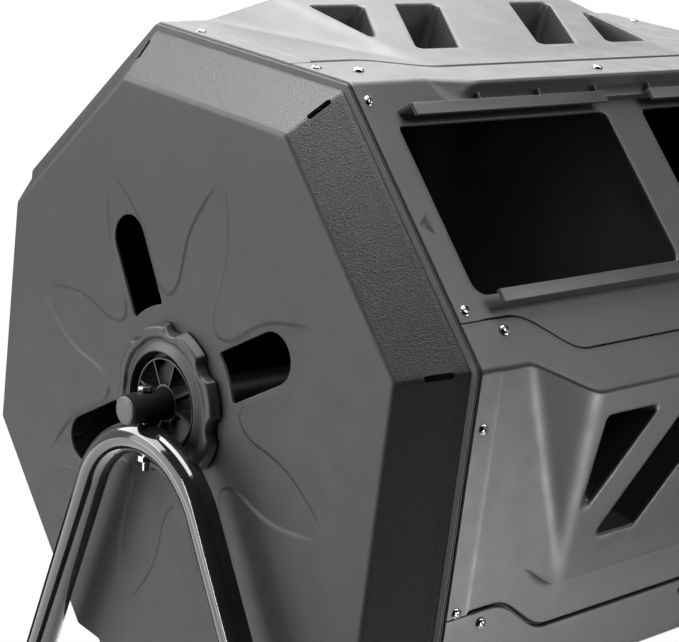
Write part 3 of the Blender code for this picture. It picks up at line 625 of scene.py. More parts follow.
def inner_skin(x, s, h, fold_s):
    """The same points moved in by the wall, square to whichever face they are on."""
    own = smooth_step((s - fold_s + 0.004) / 0.008)
    move_s = (1 - own) * TURN
    move_h = (1 - own) * -TURN - own
    size = move_s ** 2 + move_h ** 2
    return s + WALL * move_s / size, h + WALL * move_h / size


def stations_to_rows(stations, counts):
    rows = [stations[0]]
    for low, high, count in zip(stations, stations[1:], counts):
        rows += [low + (high - low) * k / count for k in range(1, count + 1)]
    return rows


def build_panel_body(shape, block_x, block_s, holes):
    """Both skins of a panel, with its holes; returns the unfinished body in (x, s, h)."""
    x = panel_columns(block_x)
    body = Body()
    fold_s = shape.fold(x)
    seam = shape.seam(x)
    start, width = shape.groove_at(x)
    run = np.minimum(width * 0.75, GROOVE_STEP)
    flange_s, _ = from_previous(seam + 0.0010, SKIN)
    mark = shape.mark_at(x) if shape.marked else np.full_like(x, block_s[1] + 0.0016)
    rows = stations_to_rows(
        [flange_s, fold_s - 0.0055, fold_s + 0.0055, np.full_like(x, block_s[0]), np.full_like(x, block_s[1]),
         mark - MARK_HALF_WIDTH, mark, mark + MARK_HALF_WIDTH, start - 0.0015, start, start + run,
         start + width + 0.011],
        [9, 14, 4, int((block_s[1] - block_s[0]) / PANEL_STEP), 4, 2, 2, 5, 2, 8, 4])
    outer, inner = [], []
    for drop, back in ((EDGE_ROUND, 0.0), (0.0004, 0.0001), (0.0001, 0.0004)):
        s, h = from_previous(seam + back, SKIN - drop)
        outer.append((s, h - end_round(x)))
        inner.append(from_previous(seam + back, 0.0001))
    for s in rows:
        h = shape.surface(x, s)
        outer.append((s, h - end_round(x)))
        inner.append(inner_skin(x, s, h, fold_s))
    tables = []
    for skin in (outer, inner):
        cells = np.array([np.stack((x, s, h), axis=1) for s, h in skin])
        tables.append(body.add(cells).reshape(len(skin), len(x)))
    own_s = np.array([s for s, h in outer])
    in_x = (np.abs((x[:-1] + x[1:]) / 2) < block_x)[None, :]
    middle_s = (own_s[:-1, :-1] + own_s[1:, 1:]) / 2
    keep = ~(in_x & (middle_s > block_s[0]) & (middle_s < block_s[1]))
    for table in tables:
        body.grid(table, keep)
    border = []
    for side in (np.s_[0, :], np.s_[:, -1], np.s_[-1, ::-1], np.s_[::-1, 0]):
        border.append((tables[0][side], tables[1][side]))
    ring_out = np.concatenate([a[:-1] for a, b in border])
    ring_in = np.concatenate([b[:-1] for a, b in border])
    body.band(ring_out, ring_in)

    block_columns = x[np.abs(x) <= block_x + 1e-9]
    block_rows = np.unique(np.round([s[0] for s in rows if np.ptp(s) < 1e-9
                                     and block_s[0] - 1e-9 <= s[0] <= block_s[1] + 1e-9], 9))
    edge, scattered = table_outline(block_columns, block_rows)
    loops = [hole["loop"] for hole in holes]
    for loop in loops:
        scattered = clear_of(scattered, loop, 0.0022)
    flat, table = fill(edge, loops, scattered)
    heights = shape.surface(flat[:, 0], flat[:, 1])
    flat_fold = shape.fold(flat[:, 0])
    body.triangles(body.add(np.column_stack((flat, heights))), table)
    in_s, in_h = inner_skin(flat[:, 0], flat[:, 1], heights, flat_fold)
    body.triangles(body.add(np.column_stack((flat[:, 0], in_s, in_h))), table)
    for hole in holes:
        hole["cut"](body)
    return body


# ---- pockets of the fin panels ------------------------------------------------------------------
POCKET_CORNER = 0.0050
POCKET_LIP = 0.0024


def pocket_outlines():
    """Four slanted pockets (x, s): a triangle and a parallelogram, then the same turned half a turn."""
    triangle = [(-0.1545, POCKET_NEAR_S), (-0.1040, POCKET_NEAR_S), (-0.1545, 0.0055)]
    bar = [(-0.0570, POCKET_NEAR_S), (-0.0150, POCKET_NEAR_S),
           (-0.0865, POCKET_FAR_S), (-0.1295, POCKET_FAR_S)]
    turned = [[(-x, 2 * POCKET_CENTRE_S - s) for x, s in outline] for outline in (bar, triangle)]
    return [triangle, bar] + turned


def pocket_hole(outline, shape):
    """The pocket's loop in the panel's skin and the function that adds its walls and floor."""
    base = soft_outline(outline, 0.0, POCKET_CORNER)
    growth = (soft_outline(outline, 0.001, POCKET_CORNER) - base) / 0.001
    grow = np.full(len(base), POCKET_LIP)
    for _ in range(4):
        place = base + growth * grow[:, None]
        height = shape.surface(place[:, 0], place[:, 1])
        grow = POCKET_DRAFT * height + POCKET_LIP
    loop = base + growth * grow[:, None]
    top = shape.surface(loop[:, 0], loop[:, 1])

    def ring(amount, h):
        return np.column_stack((base + growth * amount[:, None], h))

    def cut(body):
        floor_round = 0.0030
        rings = [ring(grow, top)]
        for out, down in quarter_turn(5, 1):
            rings.append(ring(grow - POCKET_LIP * out, top - POCKET_LIP * down))
        wall_top = top - POCKET_LIP
        for k in range(1, 8):
            h = wall_top + (POCKET_FLOOR + floor_round - wall_top) * k / 7
            rings.append(ring(POCKET_DRAFT * h, h))
        for down, inward in quarter_turn(4, 1):
            amount = np.full(len(base), POCKET_DRAFT * POCKET_FLOOR - floor_round * inward)
            rings.append(ring(amount, np.full(len(base), POCKET_FLOOR + floor_round * (1 - down))))
        body.face(body.skin(rings)[-1])
        in_s, in_h = inner_skin(loop[:, 0], loop[:, 1], top, shape.fold(loop[:, 0]))
        back = [np.column_stack((loop[:, 0], in_s, in_h))]
        for k in range(5):
            h = in_h - 0.0008 + (POCKET_FLOOR - WALL - in_h + 0.0008) * k / 4
            back.append(ring(POCKET_DRAFT * h + WALL, h))
        body.face(body.skin(back)[-1])
    return {"loop": loop, "cut": cut}


# ---- openings and rails of the door panel -------------------------------------------------------
def opening_hole(x_range):
    """A door opening with softly rounded edges."""
    corners = [(x_range[0], OPENING_S[0]), (x_range[1], OPENING_S[0]),
               (x_range[1], OPENING_S[1]), (x_range[0], OPENING_S[1])]
    lip = 0.0009
    rounding = np.array((0.0045, 0.0070, 0.0120, 0.0120))
    if x_range[0] > 0:
        rounding = rounding[[1, 0, 3, 2]]
    loop = soft_outline(corners, lip, rounding + lip, 9, 40)
    wall = soft_outline(corners, 0.0, rounding, 9, 40)

    def cut(body):
        rings = [at_height(loop + (wall - loop) * inward, SKIN - lip * down)
                 for inward, down in quarter_turn(4)]
        body.skin(rings + [at_height(wall, 0.0006), at_height(loop, 0.0)])
    return {"loop": loop, "cut": cut}


def soft_section(profile, radius, steps=3):
    """Cross-section with its corners rounded; works for L shapes as well."""
    profile = np.asarray(profile, float)
    count = len(profile)
    points = []
    for k in range(count):
        here, before, after = profile[k], profile[k - 1], profile[(k + 1) % count]
        to_before = (before - here) / np.linalg.norm(before - here)
        to_after = (after - here) / np.linalg.norm(after - here)
        half = math.acos(np.clip(to_before @ to_after, -1, 1)) / 2
        reach = radius / math.tan(half)
        start, end = here + to_before * reach, here + to_after * reach
        for i in range(steps + 1):
            t = i / steps
            points.append((1 - t) ** 2 * start + 2 * t * (1 - t) * here + t * t * end)
    return np.array(points)


def add_rail(body, x_range, web_s, direction):
    """L-section rail with slanted, softened ends."""
    top = SKIN + RAIL_HEIGHT
    under = top - RAIL_WALL
    web = web_s + direction * RAIL_WALL
    tip = web_s + direction * RAIL_LIP
    profile = [(web_s, 0.0015), (web, 0.0015), (web, under), (tip, under), (tip, top), (web_s, top)]
    sharp = soft_section(profile, 0.0005)
    middle = np.array([((web_s + web) / 2, h) if h < under else (s, top - RAIL_WALL / 2) for s, h in sharp])
    rings = []
    for x, sign in zip(x_range, (-1, 1)):
        for pull, back in ((0.12, 0.0), (0.0, 0.0006)):
            ring = sharp + (middle - sharp) * pull
            slant = RAIL_SLANT * (top - ring[:, 1]) / RAIL_HEIGHT
            rings.append(np.column_stack((x + sign * (slant - back), ring)))
    body.loft(rings[:2] + rings[:1:-1])


def add_block(body, profile, x_low, x_high, soft=0.0004):
    """A small moulded rib: a section in (s, h) between two stations, with softened edges."""
    section = soft_section(profile, soft)
    centre = section.mean(0)
    shrunk = centre + (section - centre) * 0.86
    rings = []
    for x, part in ((x_low, shrunk), (x_low + soft, section), (x_high - soft, section), (x_high, shrunk)):
        rings.append(np.column_stack((np.full(len(part), x), part)))
    body.loft(rings)


def add_arrow(body):
    """Shallow raised triangle beside the near opening that shows which way the door slides."""
    corners = [(-0.2625, -0.0067), (-0.2625, 0.0110), (-0.2748, 0.0022)]
    levels = ((0.0, SKIN - 0.0014), (0.0, SKIN - 0.0002), (-0.0003, SKIN))
    body.loft([at_height(soft_outline(corners, grow, 0.0004, 3, 4), h) for grow, h in levels])


# ---- end caps -----------------------------------------------------------------------------------
RIM_DEPTH = 0.0382
RIM_WIDTH = 0.0038
RIM_RISE = 0.0014
CAP_CORNER = 0.0050
CORNER_STEPS = 6
EDGE_STEPS = 36
BASE_APOTHEM = 0.25                                    # the outline that all rings are grown from
CAP_FOLD = 0.0065
PETAL_DEPTH = 0.0013
PETAL_SLOPE = 0.0030
PETAL_TURN = 19.4
FACE_MESH_STEP = 0.009
PETALS = 8
PETAL_TIP = 0.1940
PETAL_OFFSETS = (-0.0055, -0.0034, -0.0022, -0.0011, 0.0, 0.0011, 0.0022, 0.0034, 0.0055)
PETAL_HALF = ((0.0845, 22.5), (0.0865, 20.2), (0.0890, 17.7), (0.0950, 14.8), (0.1030, 13.1),
              (0.1180, 12.0), (0.1320, 10.9), (0.1446, 9.3), (0.1570, 7.2), (0.1700, 4.9),
              (0.1820, 2.8), (0.1900, 1.4), (0.1930, 0.6))
SLOT_TURN = -33.4
SLOT_HALF_WIDTH = 0.0200
SLOT_INNER = 0.0775
SLOT_OUTER = 0.1350
SLOT_HALO = 0.0030                                     # a ring of points kept this far from each slot
VENT_HALF_WIDTH = 0.0024
VENT_REACH = (0.0182, 0.0384)
SKIRT_MARK = 1                                         # the skirt's place in the cap's list of materials


def cap_direction(angle):
    """Unit (y, z) pointing at an angle from +Z towards -Y."""
    return np.array((-math.sin(angle), math.cos(angle)))


def octagon_corners(apothem):
    radius = apothem / math.cos(HALF_FACE)
    return np.array([radius * cap_direction(FACE_STEP * (k + 0.5) + DRUM_TILT) for k in range(SIDES)])


def on_cap(side, depth, flat):
    """Points (x, y, z) at a depth behind a cap's face; flat gives (y, z) round the axle."""
    return np.column_stack((side * (CAP_FACE_X - np.broadcast_to(depth, len(flat))), flat))


def lift(points):
    """Moves points given round the axle to the axle's height."""
    return points + np.array((0.0, 0.0, AXLE_HEIGHT))


def relax(loop, times):
    for _ in range(times):
        loop = (np.roll(loop, 1, axis=0) + 2 * loop + np.roll(loop, -1, axis=0)) / 4
    return loop


def resample(loop, spacing):
    """Points evenly spaced along a closed loop."""
    closed = np.concatenate((loop, loop[:1]))
    lengths = np.concatenate(([0], np.cumsum(np.linalg.norm(np.diff(closed, axis=0), axis=1))))
    at = np.linspace(0, lengths[-1], int(lengths[-1] / spacing) + 1)[:-1]
    return np.column_stack((np.interp(at, lengths, closed[:, 0]), np.interp(at, lengths, closed[:, 1])))


def flower_loop():
    """Outline of the cap's sunk flower: a centre disc and eight petals, softened."""
    points = []
    for petal in range(PETALS):
        centre = math.radians(PETAL_TURN + 360 / PETALS * petal)
        for r, half in PETAL_HALF:
            points.append(r * cap_direction(centre - math.radians(half)))
        points.append(PETAL_TIP * cap_direction(centre))
        for r, half in PETAL_HALF[:0:-1]:
            points.append(r * cap_direction(centre + math.radians(half)))
    return relax(resample(np.array(points), 0.0010), 6)


def loop_normals(loop):
    """Outward directions of a closed loop, away from its own inside."""
    run = np.roll(loop, -1, axis=0) - np.roll(loop, 1, axis=0)
    out = np.stack((run[:, 1], -run[:, 0]), axis=1)
    out /= np.linalg.norm(out, axis=1)[:, None]
    area = (loop[:, 0] * np.roll(loop[:, 1], -1) - loop[:, 1] * np.roll(loop[:, 0], -1)).sum()
    return out if area > 0 else -out


def slot_loop(quarter):
    """Elongated vent slot: arc-shaped inner end and round outer end."""
    inner_angle = math.asin(SLOT_HALF_WIDTH / SLOT_INNER)
    points = []
    for angle in inner_angle * np.linspace(1, -1, 9):
        points.append((SLOT_INNER * math.cos(angle), SLOT_INNER * math.sin(angle)))
    for angle in np.linspace(-math.pi / 2, math.pi / 2, 17):
        points.append((SLOT_OUTER + SLOT_HALF_WIDTH * math.cos(angle), SLOT_HALF_WIDTH * math.sin(angle)))
    axis = DRUM_TILT + math.radians(SLOT_TURN + 90 * quarter)
    along = cap_direction(axis)
    across = np.array((-math.cos(axis), -math.sin(axis)))
    return relax(resample(np.array([along * a + across * b for a, b in points]), 0.0022), 1)


def cap_relief(points, flower, normals):
    """Depth of the sunk flower at points of the cap's face."""
    depth = np.zeros(len(points))
    for start in range(0, len(points), BATCH):
        part = points[start:start + BATCH]
        gaps = part[:, None, :] - flower[None, :, :]
        far = np.linalg.norm(gaps, axis=2)
        nearest = far.argmin(1)
        picked = gaps[np.arange(len(part)), nearest]
        signed = far.min(1) * np.sign((picked * normals[nearest]).sum(1))
        depth[start:start + BATCH] = PETAL_DEPTH * (1 - smooth_step(signed / PETAL_SLOPE + 0.5))
    reach = np.linalg.norm(points, axis=1)
    return depth * (1 - smooth_step((reach - 0.168) / 0.027))


def build_end_cap(end, side):
    """Cap with a flat face, sunk flower, vents, leather-grained skirt, corner slots and raised rim."""
    body = Body()
    rounds = (0.0, CAP_CORNER, CORNER_STEPS, EDGE_STEPS)
    base_ring = soft_outline(octagon_corners(BASE_APOTHEM), *rounds)
    growth = (soft_outline(octagon_corners(BASE_APOTHEM + 0.01), *rounds) - base_ring) / 0.01
    count = len(base_ring)

    def ring(apothem, depth):
        return on_cap(side, depth, base_ring + growth * (apothem - BASE_APOTHEM))

    slope = math.atan2(CAP_DEPTH, APOTHEM - CAP_FACE_APOTHEM)
    reach = CAP_FOLD * math.tan(slope / 2)
    run = np.array((math.cos(slope), math.sin(slope)))
    start = CAP_FACE_APOTHEM - reach
    face_ring = ring(start, 0.0)[:, 1:]

    flower = flower_loop()
    normals = loop_normals(flower)
    slots = [slot_loop(quarter) for quarter in range(4)]
    bore = np.array([HUB_BORE_RADIUS * cap_direction(2 * math.pi * k / 64) for k in range(64)])
    lip = 0.0010
    lips = [loop + loop_normals(loop) * lip for loop in slots]
    scattered = []
    for offset in PETAL_OFFSETS:
        moved = (flower + normals * offset)[::2]
        scattered.append(moved[distance_to(moved, flower) > abs(offset) - 0.0003])
    stations = np.arange(-0.24, 0.2401, FACE_MESH_STEP)
    coarse = np.array([(a, b) for a in stations for b in stations])
    coarse = coarse[distance_to(coarse, flower) > 0.008]
    scattered.append(coarse)
    scattered = np.concatenate(scattered)
    scattered = scattered[inside(scattered, face_ring * 0.975)]
    for loop in lips + [bore]:
        scattered = clear_of(scattered, loop, 0.0016)
    for loop in lips:
        scattered = scattered[distance_to(scattered, loop) > SLOT_HALO * 1.5]
    scattered = np.concatenate([scattered] + [loop + loop_normals(loop) * SLOT_HALO for loop in lips])
    flat, table = fill(face_ring, lips + [bore], scattered)
    depth = cap_relief(flat, flower, normals)
    for inward in (0.0, WALL):
        body.triangles(body.add(on_cap(side, depth + inward, flat)), table)
    low = cap_relief(bore, flower, normals)
    body.skin([on_cap(side, low, bore), on_cap(side, low + WALL, bore)])
    for loop, outside in zip(slots, lips):
        low = cap_relief(outside, flower, normals)
        rings = [on_cap(side, low + lip * down, outside + (loop - outside) * inward)
                 for inward, down in quarter_turn(4)]
        body.skin(rings + [on_cap(side, low + lip + 0.0002, loop), on_cap(side, low + WALL, outside)])

    # fold between face and skirt
    fold = []
    for k in range(9):
        angle = slope * k / 8
        fold.append((start + CAP_FOLD * math.sin(angle), CAP_FOLD * (1 - math.cos(angle))))
    body.skin([ring(a, d) for a, d in fold])
    inner_fold = [(a - WALL * math.sin(slope * k / 8), d + WALL * math.cos(slope * k / 8))
                  for k, (a, d) in enumerate(fold)]
    inner_fold[0] = (start, WALL)
    body.skin([ring(a, d) for a, d in inner_fold])

    # skirt, in (distance round the cap, distance down the skirt)
    skirt_start = np.array(fold[-1])
    length = (RIM_DEPTH - skirt_start[1]) / run[1]
    middle = ring(CAP_FACE_APOTHEM + 0.02, 0.0)[:, 1:]
    gaps = np.linalg.norm(np.roll(middle, -1, axis=0) - middle, axis=1)
    around = np.concatenate(([0], np.cumsum(gaps)))
    total = around[-1]
    shift = 40                                          # cut the ring open in the middle of a flat

    def skirt_point(u, v, inward):
        """Point of the skirt at a distance round and a distance down it."""
        index = np.interp(np.mod(u, total), around, np.arange(count + 1))
        low_index = np.floor(index).astype(int) % count
        share = (index - np.floor(index))[:, None]
        high_index = (low_index + 1) % count
        base = base_ring[low_index] * (1 - share) + base_ring[high_index] * share
        grow = growth[low_index] * (1 - share) + growth[high_index] * share
        apothem = skirt_start[0] + run[0] * v - inward * run[1]
        depth_here = skirt_start[1] + run[1] * v + inward * run[0]
        return on_cap(side, depth_here, base + grow * (apothem - BASE_APOTHEM)[:, None])

    u_stations = np.concatenate((around[shift:-1], around[:shift + 1] + total))
    border, spread = table_outline(u_stations, np.linspace(0, length, 12))
    corner_u = []
    for corner in range(SIDES):
        u = around[corner * (CORNER_STEPS + EDGE_STEPS) + CORNER_STEPS // 2]
        corner_u.append(u if u >= u_stations[0] else u + total)
    vents = []
    for u in corner_u:
        left, right = u - VENT_HALF_WIDTH, u + VENT_HALF_WIDTH
        box = [(left, VENT_REACH[0]), (right, VENT_REACH[0]), (right, VENT_REACH[1]), (left, VENT_REACH[1])]
        vents.append(soft_outline(box, 0.0, VENT_HALF_WIDTH - 0.00005, 5, 6))
    for loop in vents:
        spread = clear_of(spread, loop, 0.0010)
    flat, table = fill(border, vents, spread)
    for inward in (0.0, WALL):
        body.triangles(body.add(skirt_point(flat[:, 0], flat[:, 1], inward)), table, SKIRT_MARK)
    for loop in vents:
        body.band(body.add(skirt_point(loop[:, 0], loop[:, 1], 0.0)),
                  body.add(skirt_point(loop[:, 0], loop[:, 1], WALL)), mark=SKIRT_MARK)

    # rim flush with the panels, and the lip under them
    foot = skirt_start + run * length
    crown = APOTHEM + RIM_RISE
    back = RIM_DEPTH + RIM_WIDTH
    lip_apothem = APOTHEM + STRIP - WALL - GAP
    lip_depth = CAP_DEPTH + 0.020
    rim = [tuple(foot), (foot[0] + 0.0002, RIM_DEPTH + 0.0004), (foot[0] + 0.0002, RIM_DEPTH + 0.0008),
           (foot[0] + 0.0006, RIM_DEPTH + 0.0009), (crown - 0.0008, RIM_DEPTH + 0.0009),
           (crown - 0.0004, RIM_DEPTH + 0.0010), (crown - 0.0002, RIM_DEPTH + 0.0013),
           (crown - 0.0002, RIM_DEPTH + 0.0019), (crown - 0.0005, RIM_DEPTH + 0.0020),
           (crown - 0.0013, RIM_DEPTH + 0.0021), (crown - 0.0013, RIM_DEPTH + 0.0026),
           (crown - 0.0004, RIM_DEPTH + 0.0027), (crown, RIM_DEPTH + 0.0029), (crown, back - 0.0003),
           (crown - 0.0003, back),
           (lip_apothem, back), (lip_apothem, lip_depth), (lip_apothem - WALL, lip_depth),
           (lip_apothem - WALL, back + 0.0019), (foot[0] - WALL * run[1], foot[1] + WALL * run[0])]
    body.skin([ring(a, d) for a, d in rim])
    materials = [face_plastic, skirt_plastic_painted_shade]
    publish(body, f"end_cap_{end}", "moulding", "drum", materials, lift, sharp=38)


# ---- building the drum's shell ------------------------------------------------------------------
# seam's s at the ends and in the middle, fold's s, then outer and inner x of the fold and of the seam
REGULAR = (0.080, 0.1145, 0.148, 0.2285, 0.1775, 0.2185, 0.1765)
LOWER_LEAD = (0.0725, 0.1030, 0.148, 0.2285, 0.1775, 0.2190, 0.1770)
DOOR_LEAD = (0.050, 0.0825, 0.131, 0.202, 0.162, 0.202, 0.162)
LEADS = [REGULAR] * SIDES
LEADS[DOOR_FACE] = DOOR_LEAD
LEADS[FACE_NAMES.index("lower_front_panel")] = LOWER_LEAD
FIN_TAIL = (0.0645, 0.160)                             # s and x where a fin panel's wedge fades out
DOOR_TAIL = (TOP_RAIL_S - 0.004, 0.186)
FIN_BLOCK = (0.1660, (-0.0770, 0.0425))                # x and s reach of the finely meshed middle
DOOR_BLOCK = (0.2545, (-0.0830, 0.0660))
OPENING_X = (0.0225, 0.2500)
RAIL_X = (0.028, 0.239)


def build_fin_panels():
    """The seven panels with a raised wedge and four pockets."""
    for face, name in enumerate(FACE_NAMES):
        if face == DOOR_FACE:
            continue
        following = following_of(LEADS[(face + 1) % SIDES])
        shape = PanelShape(LEADS[face], following, FIN_TAIL,
                           ridge_round=0.0042, fold_round=0.0030, groove=0.0042, pad=0.0004)
        holes = [pocket_hole(outline, shape) for outline in pocket_outlines()]
        body = build_panel_body(shape, *FIN_BLOCK, holes)
        publish(body, name, "moulding", "drum", [drum_plastic], on_face(face), sharp=50)


def both_sides(reach):
    """The same stretch of x at the near end and at the far end."""
    return (-reach[1], -reach[0]), reach


def build_door_panel():
    """Panel with two openings, the door's rails, gussets behind the top ones and a bridge between them."""
    shape = PanelShape(DOOR_LEAD, following_of(REGULAR), DOOR_TAIL,
                       ridge_round=0.0006, fold_round=0.0040, groove=0.0013, pad=0.0)
    body = build_panel_body(shape, *DOOR_BLOCK, [opening_hole(span) for span in both_sides(OPENING_X)])
    for x_range in both_sides(RAIL_X):
        add_rail(body, x_range, TOP_RAIL_S, 1)
        add_rail(body, x_range, BOTTOM_RAIL_S, -1)
    gusset = [(TOP_RAIL_S - 0.0085, 0.002), (TOP_RAIL_S + 0.001, 0.002),
              (TOP_RAIL_S + 0.001, SKIN + 0.006), (TOP_RAIL_S - 0.0085, SKIN + 0.0075)]
    for number in range(6):
        x = (number - 2.5) * GUSSET_PITCH + 0.0045
        add_block(body, gusset, x - 0.001, x + 0.001)
    bridge = [(TOP_RAIL_S + 0.0003, 0.0018), (TOP_RAIL_S + 0.0022, 0.0018),
              (TOP_RAIL_S + 0.0022, SKIN + 0.0062), (TOP_RAIL_S + 0.0003, SKIN + 0.0062)]
    add_block(body, bridge, -0.032, 0.032)
    add_arrow(body)
    place = on_face(DOOR_FACE)
    publish(body, "door_panel", "moulding", "drum", [drum_plastic], place, sharp=50)


build_fin_panels()
build_door_panel()
for end, side in ENDS:
    build_end_cap(end, side)


# ---- hubs ---------------------------------------------------------------------------------------
def turned_rings(profile, side, count=96, scallop=None):
    """Rings of a lathe profile [(x past the cap's face, radius)] round the axle."""
    angles = 2 * np.pi * np.arange(count) / count
    rings = []
    for past, radius in profile:
        r = radius if scallop is None else scallop(radius, angles)
        rings.append(on_cap(side, -past, np.column_stack((r * np.cos(angles), r * np.sin(angles)))))
    return rings


def knob_lobes(radius, angles):
    """The knob's outline: eight wide lobes with narrow notches between them."""
    wave = np.cos(KNOB_LOBES * (angles - KNOB_TURN))
    notch = np.clip((wave - 0.10) / 0.90, 0, 1)
    share = np.clip((radius - KNOB_COLLAR) / (KNOB_RADIUS - KNOB_COLLAR), 0, 1)
    return radius - KNOB_LOBE * smooth_step(notch) * share


def build_hub(end, side):
    """Scalloped clamping ring and, inside it, the spoked wheel that turns on the axle."""
    ring = Body()
    top = GAP + KNOB_THICKNESS
    edge = HUB_BORE_RADIUS
    profile = [(GAP, edge), (top - 0.0006, edge), (top - 0.0001, edge + 0.0002), (top, edge + 0.0006),
               (top - 0.0003, edge + 0.0012), (top - 0.0030, 0.0480), (top - 0.0036, 0.0493),
               (top - 0.0036, 0.0503), (top - 0.0030, 0.0514), (top - 0.0016, 0.0530),
               (top - 0.0011, 0.0541), (top - 0.0010, 0.0552), (top - 0.0012, 0.0590),
               (top - 0.0016, 0.0604), (top - 0.0026, 0.0614), (top - 0.0040, 0.0620),
               (GAP + 0.0008, KNOB_RADIUS), (GAP, KNOB_RADIUS - 0.0006)]
    ring.loft(turned_rings(profile, side, 384, knob_lobes), closed=True)
    publish(ring, f"hub_knob_{end}", "moulding", "drum", [hub_plastic], lift, sharp=42)

    wheel = Body()
    back, soft = -0.0118, 0.0004
    front = KNOB_THICKNESS - WHEEL_RECESS
    for inner, outer, reach in ((0.0346, 0.0363, front), (0.0355, WHEEL_RADIUS, front - 0.0090),
                                (AXLE_RADIUS + 0.0004, 0.0149, front)):
        section = [(back, inner), (reach - soft, inner), (reach, inner + soft), (reach, outer - soft),
                   (reach - soft, outer), (back, outer)]
        wheel.loft(turned_rings(section, side, 96), closed=True)
    half, crown = 0.0008, front - 0.0004
    section = soft_section([(-half, back), (half, back), (half, crown), (-half, crown)], 0.0003)
    for number in range(SPOKES):
        angle = SPOKE_TURN + 2 * math.pi * number / SPOKES
        along = np.array((math.cos(angle), math.sin(angle)))
        across = np.array((-math.sin(angle), math.cos(angle)))
        wheel.loft([on_cap(side, -section[:, 1], r * along + section[:, :1] * across) for r in SPOKE_REACH])
    publish(wheel, f"hub_bearing_{end}", "moulding", "drum", [hub_plastic], lift, sharp=42)


# ---- stand --------------------------------------------------------------------------------------
def leg_line(height):
    """Distance of a leg's centreline from the middle at a height."""
    apex = AXLE_HEIGHT + LEG_BEND_TOP - LEG_BEND_RADIUS + LEG_BEND_RADIUS / math.sin(LEG_SPREAD)
    return (apex - height) * math.tan(LEG_SPREAD)


def circle_points(radius, count):
    angles = 2 * np.pi * np.arange(count) / count
    return np.column_stack((radius * np.cos(angles), radius * np.sin(angles)))


def stand_up(centre, flat, u, v):
    """A flat ring laid out at a centre along two directions."""
    return centre + flat[:, :1] * np.asarray(u, float) + flat[:, 1:] * v


def add_sweep(body, path, radii, side_hint, count=40):
    """A round body along a path that stays square to side_hint; radii gives one radius per point."""
    path = np.asarray(path, float)
    runs = np.gradient(path, axis=0)
    runs /= np.linalg.norm(runs, axis=1)[:, None]
    rings = []
    for point, run, radius in zip(path, runs, radii):
        across = np.cross(run, side_hint)
        across /= np.linalg.norm(across)
        rings.append(stand_up(point, circle_points(radius, count), side_hint, across))
    body.loft(rings)


def build_leg_frame(end, side):
    """One bent tube: two legs and the bend under the axle."""
    centre = AXLE_HEIGHT + LEG_BEND_TOP - LEG_BEND_RADIUS
    sweep = math.pi / 2 - LEG_SPREAD
    x = side * LEG_X
    path = []
    for k in range(9):
        height = FOOT_LIFT + (centre + 0.02 - FOOT_LIFT) * k / 9
        path.append((x, -leg_line(height), height))
    for k in range(65):
        angle = -sweep + 2 * sweep * k / 64
        path.append((x, LEG_BEND_RADIUS * math.sin(angle), centre + LEG_BEND_RADIUS * math.cos(angle)))
    path += [(x, -y, z) for x, y, z in path[8::-1]]
    body = Body()
    add_sweep(body, path, [LEG_RADIUS] * len(path), (1, 0, 0))
    publish(body, f"leg_frame_{end}", "tube", "stand", [black_enamel])


def build_foot(end, side, place, front):
    """Moulded cup on the leg's end, its rim rounded, cut flat where it stands."""
    direction = np.array((0, front * math.sin(LEG_SPREAD), -math.cos(LEG_SPREAD)))
    tip = np.array((side * LEG_X, front * leg_line(FOOT_LIFT), FOOT_LIFT))
    body = Body()
    rim = -(FOOT_LENGTH - 0.012)
    wide = FOOT_RADIUS
    stations = [(rim + 0.0010, LEG_RADIUS + 0.0001), (rim, LEG_RADIUS + 0.0006), (rim, wide - 0.0012),
                (rim + 0.0004, wide - 0.0004), (rim + 0.0012, wide), (rim + 0.0040, wide),
                (rim + 0.0048, wide - 0.0005), (rim + 0.0056, wide), (0.030, wide)]
    hint = np.array((1.0, 0, 0))
    across = np.cross(direction, hint)
    body.loft([stand_up(tip + direction * along, circle_points(radius, 48), hint, across)
               for along, radius in stations])
    foot = publish(body, f"foot_{end}_{place}", "cup", "stand", [foot_plastic])
    bm = bmesh.new()
    bm.from_mesh(foot.data)
    everything = bm.verts[:] + bm.edges[:] + bm.faces[:]
    cut = bmesh.ops.bisect_plane(bm, geom=everything, plane_co=(0, 0, 0.0002), plane_no=(0, 0, -1),
                                 clear_outer=True)
    edges = [part for part in cut["geom_cut"] if isinstance(part, bmesh.types.BMEdge)]
    bmesh.ops.contextual_create(bm, geom=edges)
    bm.to_mesh(foot.data)
    bm.free()


def build_crossbar(place, front):
    """Round tube between the two frames."""
    y = front * leg_line(CROSSBAR_HEIGHT)
    half = LEG_X - LEG_RADIUS - 0.0005
    stations = [(-half, CROSSBAR_RADIUS - 0.0006), (-half + 0.0006, CROSSBAR_RADIUS), (0.0, CROSSBAR_RADIUS),
                (half - 0.0006, CROSSBAR_RADIUS), (half, CROSSBAR_RADIUS - 0.0006)]
    body = Body()
    path = [(x, y, CROSSBAR_HEIGHT) for x, radius in stations]
    add_sweep(body, path, [radius for x, radius in stations], (0, 1, 0))
    publish(body, f"crossbar_{place}", "tube", "stand", [black_enamel])


def build_axle():
    """The fixed tube on which the drum turns, and its two grey end plugs."""
    body = Body()
    path = [(x, 0, AXLE_HEIGHT) for x in (-AXLE_END_X, -0.10, 0.10, AXLE_END_X)]
    add_sweep(body, path, [AXLE_RADIUS] * len(path), (0, 1, 0), 64)
    publish(body, "axle_tube", "round", "stand", [matt_enamel])
    for end, side in ENDS:
        plug = Body()
        wide = PLUG_RADIUS
        profile = [(0.0003, wide - 0.0004), (0.0006, wide), (0.0016, wide), (0.0022, wide - 0.0003),
                   (0.0026, wide - 0.0011), (0.0028, wide - 0.0040), (0.0029, 0.0010)]
        plug.loft(turned_rings([(x + AXLE_END_X - CAP_FACE_X, r) for x, r in profile], side, 64))
        publish(plug, f"axle_plug_{end}", "disc", "stand", [plug_plastic], lift)


